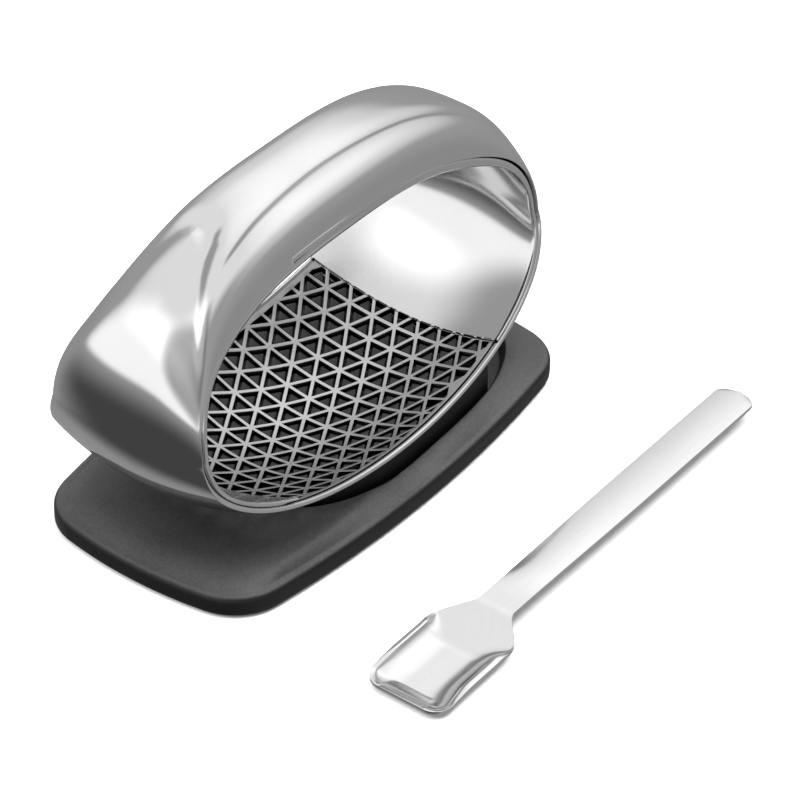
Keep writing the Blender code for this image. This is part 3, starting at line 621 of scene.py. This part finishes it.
def floor_phi(u):
    """Signed loop angle of the floor point u along the floor."""
    return np.where(u < 0.0, -1.0, 1.0) * np.interp(np.abs(u), ARC, ARC_PHI)


def floor_place(u, v):
    """Point of the underside at u along and v millimetres across."""
    phi = floor_phi(u)
    share = v / half_width(phi)
    return on_loop(phi, v, shell_depth(phi, share))


def underside(x, y):
    """Height of the press's underside over (x, y), by bisection on the loop angle."""
    side = np.where(x >= LOOP_X, 1.0, -1.0)
    low = np.full(np.shape(x), 0.5 * math.pi)
    high = np.full(np.shape(x), math.pi)
    for _ in range(30):
        phi = 0.5 * (low + high)
        p = on_loop(phi, y, shell_depth(phi, y / half_width(phi)))
        far = p[..., 0] - LOOP_X > np.abs(x - LOOP_X)
        low = np.where(far, phi, low)
        high = np.where(far, high, phi)
    p = on_loop(side * phi, y, shell_depth(phi, y / half_width(phi)))
    return p[..., 2]


def inward(phi, v):
    """Unit normal of the outer surface, pointing into the sheet, by central differences."""
    e = 1e-3
    a = shell_point(phi + e, v) - shell_point(phi - e, v)
    b = shell_point(phi, np.clip(v + e, -1, 1)) - shell_point(phi, np.clip(v - e, -1, 1))
    n = np.cross(a, b)
    n /= np.linalg.norm(n, axis=-1, keepdims=True) + 1e-12
    centre = np.stack([0.0 * phi + LOOP_X, 0.0 * phi, 0.0 * phi + LOOP_ZC], -1)
    out = ((shell_point(phi, v) - centre) * n).sum(-1, keepdims=True)
    return -n * np.where(out < 0.0, -1.0, 1.0)


def make_shell(mat):
    """Sheet carried round the oval: outer skin, rounded rims, inner skin, open over the floor."""
    n_floor = 100
    n_top = 430
    phi_w = float(np.interp(PLATE_HALF_L + GAP, ARC, ARC_PHI))
    us = np.linspace(-(PLATE_HALF_L + GAP), PLATE_HALF_L + GAP, n_floor + 1)
    floor = np.interp(np.abs(us), ARC, ARC_PHI)
    floor = np.where(us < 0.0, TAU - floor, floor)
    over = phi_w - 2.0 * phi_w * np.arange(1, n_top) / n_top
    angles = np.concatenate([floor, over])
    phi = np.where(angles > math.pi, angles - TAU, angles)

    n_rim = 7
    n_mid = 104
    inner_step = 8
    side = np.linspace(0.0, 1.0, n_rim + 1)
    s = np.concatenate([-2.0 + side, np.linspace(-1.0, 1.0, n_mid + 1)[1:-1], 1.0 + side])
    w = half_width(phi)[:, None]
    strip = 1.0 - RIM_STRIP / w
    grow = np.clip(np.abs(s) - 1.0, 0.0, 1.0)[None]
    v = np.sign(s)[None] * (np.minimum(np.abs(s), 1.0)[None] * strip + grow * (1.0 - strip))
    ph = phi[:, None] + 0.0 * v
    outer = shell_point(ph, v)
    normal = inward(ph, v)
    inner = outer + normal * SHELL_T
    n_v = len(s)
    k_round = 4
    turn = np.linspace(0.0, math.pi, k_round + 2)[1:-1]

    def rim(j, sign):
        """Half circle from the outer skin's edge to the inner skin's."""
        a = outer[:, j]
        b = inner[:, j]
        middle = 0.5 * (a + b)
        half = 0.5 * (a - b)
        push = np.stack([0 * phi, sign + 0 * phi, 0 * phi], -1)
        unit = half / np.linalg.norm(half, axis=-1, keepdims=True)
        push = push - unit * (push * unit).sum(-1, keepdims=True)
        push /= np.linalg.norm(push, axis=-1, keepdims=True)
        bulge = push * 0.35 * SHELL_T
        return np.stack([middle + half * math.cos(t) + bulge * math.sin(t) for t in turn], 1)

    high = rim(-1, 1.0)
    low = rim(0, -1.0)
    cols = np.concatenate([np.arange(n_rim + 1), n_rim + np.arange(inner_step, n_mid, inner_step),
                           np.arange(n_v - 1 - n_rim, n_v)])
    n_in = len(cols)
    ring = np.concatenate([outer, high, inner[:, cols[::-1]], low[:, ::-1]], 1)
    n_i, n_j = ring.shape[:2]
    index = np.arange(n_i * n_j).reshape(n_i, n_j)
    keep = np.ones((n_i, n_j), bool)
    window = np.arange(n_i) < n_floor
    cut = np.zeros(n_j, bool)
    cut[n_rim:n_v - 1 - n_rim] = True
    first_in = n_v + k_round
    cut[first_in + n_rim:first_in + n_in - 1 - n_rim] = True
    keep[np.ix_(window, cut)] = False
    faces = [quads(index, True, True, keep)]
    for j, mate in ((n_rim, first_in + n_in - 1 - n_rim), (n_v - 1 - n_rim, first_in + n_rim)):
        faces.append(quads(np.stack([index[:n_floor + 1, j], index[:n_floor + 1, mate]], 1)))
    for i in (0, n_floor):
        around = np.concatenate([np.arange(n_rim, n_v - n_rim), first_in + np.arange(n_rim, n_in - n_rim)])
        faces.append(index[i, around][None])
    return build("loop_shell", ring.reshape(-1, 3), faces, mat, "press", "polished_shell",
                 "press_outer_shell")


def liner_depth(phi, v):
    """Depth of the liner's outer skin: behind the shell's edges, arched towards the shell between them."""
    k = handle_share(phi)
    arch = LINER_ARCH * k + drop(phi) * (1.0 - k)
    return drop(phi) + SHELL_T + GAP - arch * (1.0 - v * v)


def make_liner(mat):
    """Inner band: a ring of rounded cross-section carried from one plate end over to the other."""
    n_phi = 260
    n_v = 41
    n_round = 6
    start = float(np.interp(PLATE_HALF_L + 0.55, ARC, ARC_PHI))
    t = np.linspace(-1.0, 1.0, n_phi + 1)
    v = np.linspace(-1.0, 1.0, n_v)
    turn = np.linspace(0.0, math.pi, n_round + 2)[1:-1]
    vs = np.concatenate([v, np.ones(n_round), v[::-1], -np.ones(n_round)])
    layer = np.concatenate([np.zeros(n_v), 0.5 - 0.5 * np.cos(turn), np.ones(n_v),
                            0.5 + 0.5 * np.cos(turn)])
    bulge = np.concatenate([np.zeros(n_v), np.sin(turn), np.zeros(n_v), -np.sin(turn)])
    bow = 1.0 + 0.006 * (1.0 - vs ** 2)
    phi = t[:, None] * start * (1.0 + (bow[None] - 1.0) * np.abs(t[:, None]) ** 6)
    k = handle_share(phi)
    w = half_width(phi) - LINER_INSET - 0.2 * k
    lap = smooth((np.abs(t) - 0.955) / 0.03)[:, None]
    lip = 0.25 * (1.0 - k) * vs[None] ** 8 + LINER_LIP * k * (1.0 - layer[None]) * vs[None] ** 12
    sheet = LINER_T * (layer[None] * (1.0 - 0.45 * lap) + 0.45 * lap)
    depth = liner_depth(phi, vs[None]) - lip + sheet
    points = on_loop(phi, vs[None] * w + 0.4 * bulge[None], depth)
    n_i, n_j = points.shape[:2]
    index = np.arange(n_i * n_j).reshape(n_i, n_j)
    faces = [quads(index, False, True)]
    back = n_v + n_round + np.arange(n_v - 1, -1, -1)
    for i in (0, n_i - 1):
        faces.append(quads(np.stack([index[i, :n_v], index[i, back]], 1)))
        for a, b in ((n_v - 1, n_v + n_round), (2 * n_v + n_round - 1, 2 * (n_v + n_round))):
            ids = [index[i, m % n_j] for m in range(a, b + 1)]
            faces.append(np.array([[ids[0], ids[m], ids[m + 1]] for m in range(1, len(ids) - 1)]))
    return build("loop_liner", points.reshape(-1, 3), faces, mat, "press", "polished_liner",
                 "press_inner_liner")


def make_plate(mat):
    """The solid plate with every hole's rims eased by a small bevel."""
    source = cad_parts["crushing_plate"]
    mesh = source.data.copy()
    mesh.materials.clear()
    mesh.materials.append(mat)
    bm = bmesh.new()
    bm.from_mesh(mesh)
    bmesh.ops.remove_doubles(bm, verts=bm.verts, dist=1e-6)
    bmesh.ops.recalc_face_normals(bm, faces=bm.faces)
    bm.to_mesh(mesh)
    bm.free()
    ob = bpy.data.objects.new("plate_lattice", mesh)
    bpy.context.scene.collection.objects.link(ob)
    mesh.polygons.foreach_set("use_smooth", np.ones(len(mesh.polygons), bool))
    mesh.set_sharp_from_angle(angle=math.radians(35.0))
    bevel = ob.modifiers.new("eased_rims", "BEVEL")
    bevel.width = 0.12 * MM
    bevel.segments = 2
    bevel.limit_method = "ANGLE"
    bevel.angle_limit = math.radians(50.0)
    bevel.use_clamp_overlap = True
    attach(ob, "press")
    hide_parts("crushing_plate")
    return ob


# ------------------------------------------------------------------ tray

def bowed_outline(length, width, r, bulge_x, bulge_y, n=360):
    """Closed outline: four bowed sides joined by corner arcs, with its outward normals."""
    a = 0.5 * length - r - bulge_x
    b = 0.5 * width - r - bulge_y
    corners = np.array([(a, -b), (a, b), (-a, b), (-a, -b)])
    sags = (bulge_x, bulge_y, bulge_x, bulge_y)
    arcs = []
    for k in range(4):
        p = corners[k]
        q = corners[(k + 1) % 4]
        chord = np.linalg.norm(q - p)
        rad = (chord * chord / 4.0 + sags[k] ** 2) / (2.0 * sags[k])
        d = (q - p) / chord
        centre = (p + q) / 2.0 - np.array([d[1], -d[0]]) * (rad - sags[k])
        a0 = math.atan2(*(p - centre)[::-1])
        a1 = math.atan2(*(q - centre)[::-1])
        if a1 < a0:
            a1 += TAU
        arcs.append((centre, rad, a0, a1))
    points = []
    normals = []
    for k in range(4):
        centre, rad, a0, a1 = arcs[k]
        t = np.linspace(a0, a1, n // 6)
        normals.append(np.stack([np.cos(t), np.sin(t)], 1))
        points.append(centre + (rad + r) * normals[-1])
        b1 = arcs[(k + 1) % 4][2]
        while b1 < a1:
            b1 += TAU
        while b1 - a1 > math.pi:
            b1 -= TAU
        t = np.linspace(a1, b1, n // 12 + 2)[1:-1]
        normals.append(np.stack([np.cos(t), np.sin(t)], 1))
        points.append(corners[(k + 1) % 4] + r * normals[-1])
    return np.concatenate(points), np.concatenate(normals)


def resample(points, n, start_angle=-2.4):
    """Points of a closed outline at n even steps of polar angle from start_angle."""
    angle = np.unwrap(np.arctan2(points[:, 1], points[:, 0]))
    if angle[-1] < angle[0]:
        angle = angle[::-1]
        points = points[::-1]
    want = angle[0] + (start_angle + TAU * np.arange(n) / n - angle[0]) % TAU
    closed_angle = np.append(angle, angle[0] + TAU)
    closed = np.concatenate([points, points[:1]])
    return np.stack([np.interp(want, closed_angle, closed[:, k]) for k in range(2)], 1)


def pocket_edge(around, inset):
    """Egg of two superellipse halves, one point for each point of the outline around it."""
    t = np.arctan2(around[:, 1] / TRAY_W, around[:, 0] / TRAY_L)
    c = np.cos(t)
    s = np.sin(t)
    reach = np.where(c > 0.0, POCKET_RIGHT, POCKET_LEFT)
    n = np.where(c > 0.0, POCKET_POWER_R, POCKET_POWER_L)
    half = np.where(s > 0.0, POCKET_FAR_W, POCKET_HALF_W)
    px = np.sign(c) * np.abs(c) ** (2.0 / n)
    py = np.sign(s) * np.abs(s) ** (2.0 / n)
    nx = np.sign(c) * np.abs(px) ** (n - 1.0) / reach
    ny = np.sign(py) * np.abs(py) ** (n - 1.0) / half
    length = np.hypot(nx, ny)
    return np.stack([POCKET_X + reach * px - inset * nx / length,
                     half * py - inset * ny / length], 1)


def inside_outline(outline, points):
    """True where a point lies inside a convex anticlockwise outline."""
    a = outline[None]
    b = np.roll(outline, -1, 0)[None]
    p = points[:, None]
    cross = (b - a)[..., 0] * (p - a)[..., 1] - (b - a)[..., 1] * (p - a)[..., 0]
    return (cross > 0.0).all(1)


def tray_outline():
    return bowed_outline(TRAY_L, TRAY_W, TRAY_CORNER, TRAY_BOW_END, TRAY_BOW_SIDE)


def plate_half_width(u):
    """Half of the plate's width at u along the floor."""
    return half_width(floor_phi(u)) - RIM_STRIP - GAP


def make_tray(mat):
    """Rings from the underside's middle, round the edge, over the crown, into the pocket and up the
    cradle."""
    n = 520
    outline, normals = tray_outline()

    def tray_ring(inset):
        return resample(outline - inset * normals, n)

    around = tray_ring(0.0)

    def pocket_ring(inset):
        return pocket_edge(around, inset)

    rings = []

    def add(xy, z):
        rings.append(np.concatenate([xy, np.broadcast_to(np.asarray(z, float), (n,))[:, None]], 1))

    flat = tray_ring(TRAY_EDGE_LOW + 1.5)
    for share in (0.02, 0.6, 1.0):
        add(flat * share, TRAY_Z0)
    for t in np.linspace(0.0, 0.5 * math.pi, 7):
        add(tray_ring(TRAY_EDGE_LOW * (1.0 - math.sin(t))), TRAY_Z0 + TRAY_EDGE_LOW * (1.0 - math.cos(t)))
    for t in np.linspace(0.0, 0.5 * math.pi, 9):
        add(tray_ring(TRAY_EDGE_TOP * (1.0 - math.cos(t))), TRAY_TOP - TRAY_EDGE_TOP * (1.0 - math.sin(t)))
    start = tray_ring(TRAY_EDGE_TOP)
    end = pocket_ring(-POCKET_EASE)
    for share in np.linspace(0.0, 1.0, 22)[1:]:
        xy = start + (end - start) * share
        run = np.linalg.norm(xy - start, axis=1)
        add(xy, TRAY_TOP + TRAY_CROWN * np.sin(0.5 * math.pi * np.clip(run / CROWN_RUN, 0.0, 1.0)))
    rim_z = rings[-1][:, 2]
    for t in np.linspace(0.0, 0.5 * math.pi, 6)[1:]:
        add(pocket_ring(POCKET_EASE * (math.sin(t) - 1.0)), rim_z - POCKET_EASE * (1.0 - math.cos(t)))
    side_z = rings[-1][:, 2]
    for t in (0.3, 0.7, 1.0):
        add(pocket_ring(0.8 * t), side_z + (TRAY_TOP - 0.2 - side_z) * t)
    add(pocket_ring(1.0), POCKET_FLOOR + 0.2)
    add(pocket_ring(1.2), POCKET_FLOOR)

    # cradle's edge: the plate's outline pulled in, kept inside the pocket
    u = np.linspace(-CRADLE_HALF_L, CRADLE_HALF_L, 160)
    v = plate_half_width(u) - CRADLE_INSET
    lower = floor_place(u, -v)[:, :2]
    upper = floor_place(u[::-1], v[::-1])[:, :2]
    cross = np.linspace(-1.0, 1.0, 60)[1:-1]
    right = floor_place(CRADLE_HALF_L + 0 * cross, cross * v[-1])[:, :2]
    left = floor_place(-CRADLE_HALF_L + 0 * cross, -cross * v[0])[:, :2]
    cradle = resample(np.concatenate([lower, right, upper, left]), n)
    limit = resample(pocket_ring(1.4), n)
    inside = np.minimum(np.linalg.norm(cradle, axis=1), np.linalg.norm(limit, axis=1))
    cradle = cradle * (inside / np.linalg.norm(cradle, axis=1))[:, None]
    cradle = resample(cradle, n, 0.0)
    add(cradle * 1.012, POCKET_FLOOR)
    top = underside(cradle[:, 0], cradle[:, 1]) - POCKET_GAP
    add(cradle * 1.004, np.maximum(POCKET_FLOOR + 0.1, top - 0.5))
    for share in (0.985, 0.95, 0.9, 0.8, 0.7, 0.6, 0.5, 0.4, 0.3, 0.2, 0.1, 0.01):
        xy = cradle * share
        add(xy, underside(xy[:, 0], xy[:, 1]) - POCKET_GAP)
    points = np.stack(rings)
    index = np.arange(points.shape[0] * n).reshape(points.shape[0], n)
    faces = [quads(index, False, True), index[:1], index[-1:]]
    return build("tray_body", points.reshape(-1, 3), faces, mat, "tray", "black_plastic",
                 "base_tray", smooth_deg=50.0)


def make_studs(mat):
    """One blunt three-sided stud under every hole, trimmed where the hole meets the border."""
    i = np.arange(-12, 13)[:, None, None]
    j = np.arange(-16, 17)[None, :, None]
    way = np.array([1.0, -1.0])[None, None, :]
    u0 = LATTICE_U + i * ROW + 0.0 * j + 0.0 * way
    v0 = LATTICE_V + (j + 0.5 * (i % 2)) * PITCH + 0.0 * way
    corner_u = np.stack([u0, u0 + way * ROW, u0], -1)
    corner_v = np.stack([v0, v0 + 0.5 * PITCH, v0 + PITCH], -1)
    flip = way[..., None] < 0.0
    corner_u = np.where(flip, corner_u[..., ::-1], corner_u).reshape(-1, 3)
    corner_v = np.where(flip, corner_v[..., ::-1], corner_v).reshape(-1, 3)
    mid_u = corner_u.mean(1, keepdims=True)
    mid_v = corner_v.mean(1, keepdims=True)
    inradius = PITCH * ROW / (PITCH + 2.0 * math.hypot(0.5 * PITCH, ROW))

    # 15 points round each triangle, corners slightly blunted
    t = np.concatenate([np.array([0.10, 0.3, 0.5, 0.7, 0.90]) + k for k in range(3)])
    k = t.astype(int)
    f = t - k

    def outline(inset):
        shrink = 1.0 - inset / inradius
        cu = mid_u + (corner_u - mid_u) * shrink
        cv = mid_v + (corner_v - mid_v) * shrink
        u = cu[:, k] * (1.0 - f) + cu[:, (k + 1) % 3] * f
        v = cv[:, k] * (1.0 - f) + cv[:, (k + 1) % 3] * f
        limit_u = PLATE_HALF_L - 0.8 - inset + 0.4
        u = np.clip(u, -limit_u, limit_u)
        limit_v = plate_half_width(u) - 1.1 - inset + 0.4
        return u, np.clip(v, -limit_v, limit_v)

    base = 0.5 * BAR + STUD_CLEAR
    rings = []
    for inset, below in ((base - 0.12, None), (base, 0.34), (base + 0.09, 0.10), (base + 0.30, 0.0)):
        u, v = outline(inset)
        p = floor_place(u, v)
        if below is None:
            p[..., 2] -= POCKET_GAP + STUD_ROOT
        else:
            p[..., 2] += PLATE_T - STUD_BELOW - below
        rings.append(p)
    points = np.stack(rings, 1)
    x = points[:, -1, :, 0]
    y = points[:, -1, :, 1]
    size = 0.5 * np.abs((x * np.roll(y, -1, 1) - np.roll(x, -1, 1) * y).sum(1))
    inside = (np.abs(mid_u[:, 0]) < PLATE_HALF_L + 1.0) & (size > STUD_LEAST)
    foot = points[:, 0]
    limit = pocket_edge(tray_outline()[0], 2.3)
    inside &= inside_outline(limit, foot[..., :2].reshape(-1, 2)).reshape(foot.shape[:2]).all(1)
    points = points[inside]
    m, r, c = points.shape[:3]
    index = np.arange(m * r * c).reshape(m, r, c)
    closed = np.concatenate([index, index[:, :, :1]], 2)
    side = np.stack([closed[:, :-1, :-1], closed[:, :-1, 1:], closed[:, 1:, 1:], closed[:, 1:, :-1]], -1)
    faces = [side.reshape(-1, 4), index[:, -1], index[:, 0, ::-1]]
    return build("cleaning_studs", points.reshape(-1, 3), faces, mat, "tray", "black_plastic",
                 smooth_deg=50.0)


# ------------------------------------------------------------------ scoop

def scoop_half(s):
    """Half width along the scoop: rounded front corners, straight bowl, neck, handle, round end."""
    length = SCOOP_X1 - SCOOP_X0
    half = SCOOP_WIDE + (SCOOP_NECK - SCOOP_WIDE) * smooth((s - SCOOP_BOWL_L + 4.0) / 9.0)
    front = np.clip(1.0 - s / SCOOP_CORNER, 0.0, 1.0)
    half = half - SCOOP_CORNER * (1.0 - np.sqrt(1.0 - front ** 2))
    half = half + (SCOOP_HANDLE - SCOOP_NECK) * smooth((s - SCOOP_BOWL_L - 5.0) / 50.0)
    tail = 1.0 - np.clip((length - s) / SCOOP_TAIL, 0.0, 1.0)
    return np.maximum(0.5, half * np.sqrt(np.clip(1.0 - tail ** 2.4, 0.0, 1.0)))


def scoop_gap(s, y):
    """Distance in plan from the rim, measured to arcs at the two front corners."""
    qx = SCOOP_CORNER - s
    qy = np.maximum(0.0, np.abs(y) - SCOOP_WIDE + SCOOP_CORNER)
    corner = np.maximum(0.0, SCOOP_CORNER - np.hypot(qx, qy))
    return np.where(s < SCOOP_CORNER, corner, scoop_half(s) - np.abs(y))


def quarter(d, reach):
    """1 - sqrt(1 - (1 - d / reach)^2): upright at the rim, level at the reach."""
    t = np.clip(d / reach, 0.0, 1.0)
    return 1.0 - np.sqrt(1.0 - (1.0 - t) ** 2)


def make_scoop(mat):
    """Dished sheet: a raised rim round the bowl, the neck cranked up to rim height, a flat handle."""
    length = SCOOP_X1 - SCOOP_X0
    ease = np.linspace(0.0, 1.0, 26)
    s = np.concatenate([7.0 * ease ** 2, np.linspace(7.0, 46.0, 90)[1:],
                        np.linspace(46.0, length - 4.0, 50)[1:], length - 4.0 * (1.0 - ease[1:]) ** 2])
    half = scoop_half(s)[:, None]
    half_v = 1.0 - np.linspace(0.0, 1.0, 40) ** 1.7
    v = np.concatenate([-half_v, half_v[::-1][1:]])[None]
    n_v = v.shape[1]
    s = s[:, None] + 0.0 * v
    rim = SCOOP_FRONT + (SCOOP_SIDE - SCOOP_FRONT) * smooth(s / 12.0)
    rim = rim * (1.0 - smooth((s - SCOOP_BOWL_L + 8.0) / 9.0))
    lift = SCOOP_LIFT * smooth((s - SCOOP_LIFTED_FROM) / SCOOP_LIFT_RUN)
    share = rim / SCOOP_SIDE
    gap = scoop_gap(s, v * half)
    crown = SCOOP_CROWN * smooth((s - SCOOP_BOWL_L - 8.0) / 12.0) * (1.0 - v ** 2)
    wall = (rim - SCOOP_T + 0.35) * share * quarter(gap, SCOOP_HOLLOW)
    low = np.stack([SCOOP_X0 + s, SCOOP_Y + v * half, lift + rim * quarter(gap, SCOOP_BEND)], -1)
    top = np.stack([SCOOP_X0 + s + SCOOP_T * np.clip(1.0 - s / 6.0, 0.0, 1.0),
                    SCOOP_Y + v * (half - SCOOP_T * np.minimum(1.0, share)),
                    lift + SCOOP_T - 0.15 + crown + wall], -1)
    turn = np.linspace(0.0, math.pi, 7)[1:-1]

    def lip(a, b, out):
        """Half round from a to b, pushed outwards."""
        mid = 0.5 * (a + b)
        h = 0.5 * (a - b)
        return [mid + h * math.cos(t) + np.asarray(out) * math.sin(t) for t in turn]

    ring = np.concatenate([low, np.stack(lip(low[:, -1], top[:, -1], (0.0, 0.25, 0.12)), 1), top[:, ::-1],
                           np.stack(lip(top[:, 0], low[:, 0], (0.0, -0.25, 0.12)), 1)], 1)
    n_i, n_j = ring.shape[:2]
    index = np.arange(n_i * n_j).reshape(n_i, n_j)
    points = [ring.reshape(-1, 3)]
    count = n_i * n_j
    faces = [quads(index, False, True)]
    for i, out in ((0, -0.2), (n_i - 1, 0.3)):
        rows = [low[i]] + lip(low[i], top[i], (out, 0.0, 0.1)) + [top[i]]
        extra = np.stack(rows[1:-1])
        ids = np.concatenate([index[i, :n_v][None], count + np.arange(extra.shape[0] * n_v).reshape(-1, n_v),
                              index[i, n_v + len(turn) + n_v - 1 - np.arange(n_v)][None]])
        points.append(extra.reshape(-1, 3))
        count += extra.shape[0] * n_v
        faces.append(quads(ids))
        for col, around in ((n_v - 1, index[i, n_v:n_v + len(turn)]),
                            (0, index[i, 2 * n_v + len(turn):][::-1])):
            strip = np.stack([ids[1:-1, col], around], 1)
            faces.append(quads(strip))
            faces.append(np.array([[ids[0, col], strip[0, 0], strip[0, 1]],
                                   [ids[-1, col], strip[-1, 1], strip[-1, 0]]]))
    return build("scoop_strip", np.concatenate(points), faces, mat, "scoop", "scoop_steel",
                 "scoop", smooth_deg=50.0)


# ------------------------------------------------------------------ assembly

bpy.context.scene.view_settings.view_transform = "Standard"
add_camera()
add_sky()
add_lights()
add_floor()

shell_mat = metal("mirror_polished_shell", shade=0.72, roughness=0.10, spread=0.05, bump=0.10,
                  Smear_Size=70.0, Line_Size=1400.0, Smear=0.8, Lines=0.5)
liner_mat = metal("polished_liner", shade=0.70, roughness=0.13, spread=0.06, bump=0.15,
                  Smear_Size=60.0, Line_Size=1400.0, Smear=0.9, Lines=0.6)
# wall=0.03 paints shade on the upright walls of the plate's holes
plate_mat = metal("plate_steel", shade=0.62, roughness=0.30, spread=0.12, bump=0.3, wall=0.03,
                  Smear_Size=150.0, Line_Size=2600.0, Smear=0.8, Lines=1.0)
scoop_mat = metal("scoop_steel", shade=0.80, roughness=0.16, spread=0.07, bump=0.2,
                  Smear_Size=90.0, Line_Size=1600.0, Smear=0.7, Lines=0.9)
# side=0.05 paints shade on the tray's upright sides, making them far darker than its top
tray_mat = plastic("black_tray_plastic", dark=0.020, light=0.070, roughness=0.50, bump=0.9, side=0.05,
                   Grain_Size=1500.0, Mottle_Size=40.0, Contrast=1.1)
stud_mat = plastic("black_stud_plastic", dark=0.014, light=0.032, roughness=0.50, bump=0.25, specular=0.35,
                   Grain_Size=2600.0, Mottle_Size=60.0, Contrast=0.5)
pad_mat = plastic("pad_rubber", dark=0.010, light=0.022, roughness=0.80, bump=0.4, specular=0.3,
                  Grain_Size=1800.0, Mottle_Size=50.0, Contrast=0.5)

make_shell(shell_mat)
make_liner(liner_mat)
make_plate(plate_mat)
make_tray(tray_mat)
make_studs(stud_mat)
make_scoop(scoop_mat)
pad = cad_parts["non_slip_pad"]
pad.data.materials.clear()
pad.data.materials.append(pad_mat)
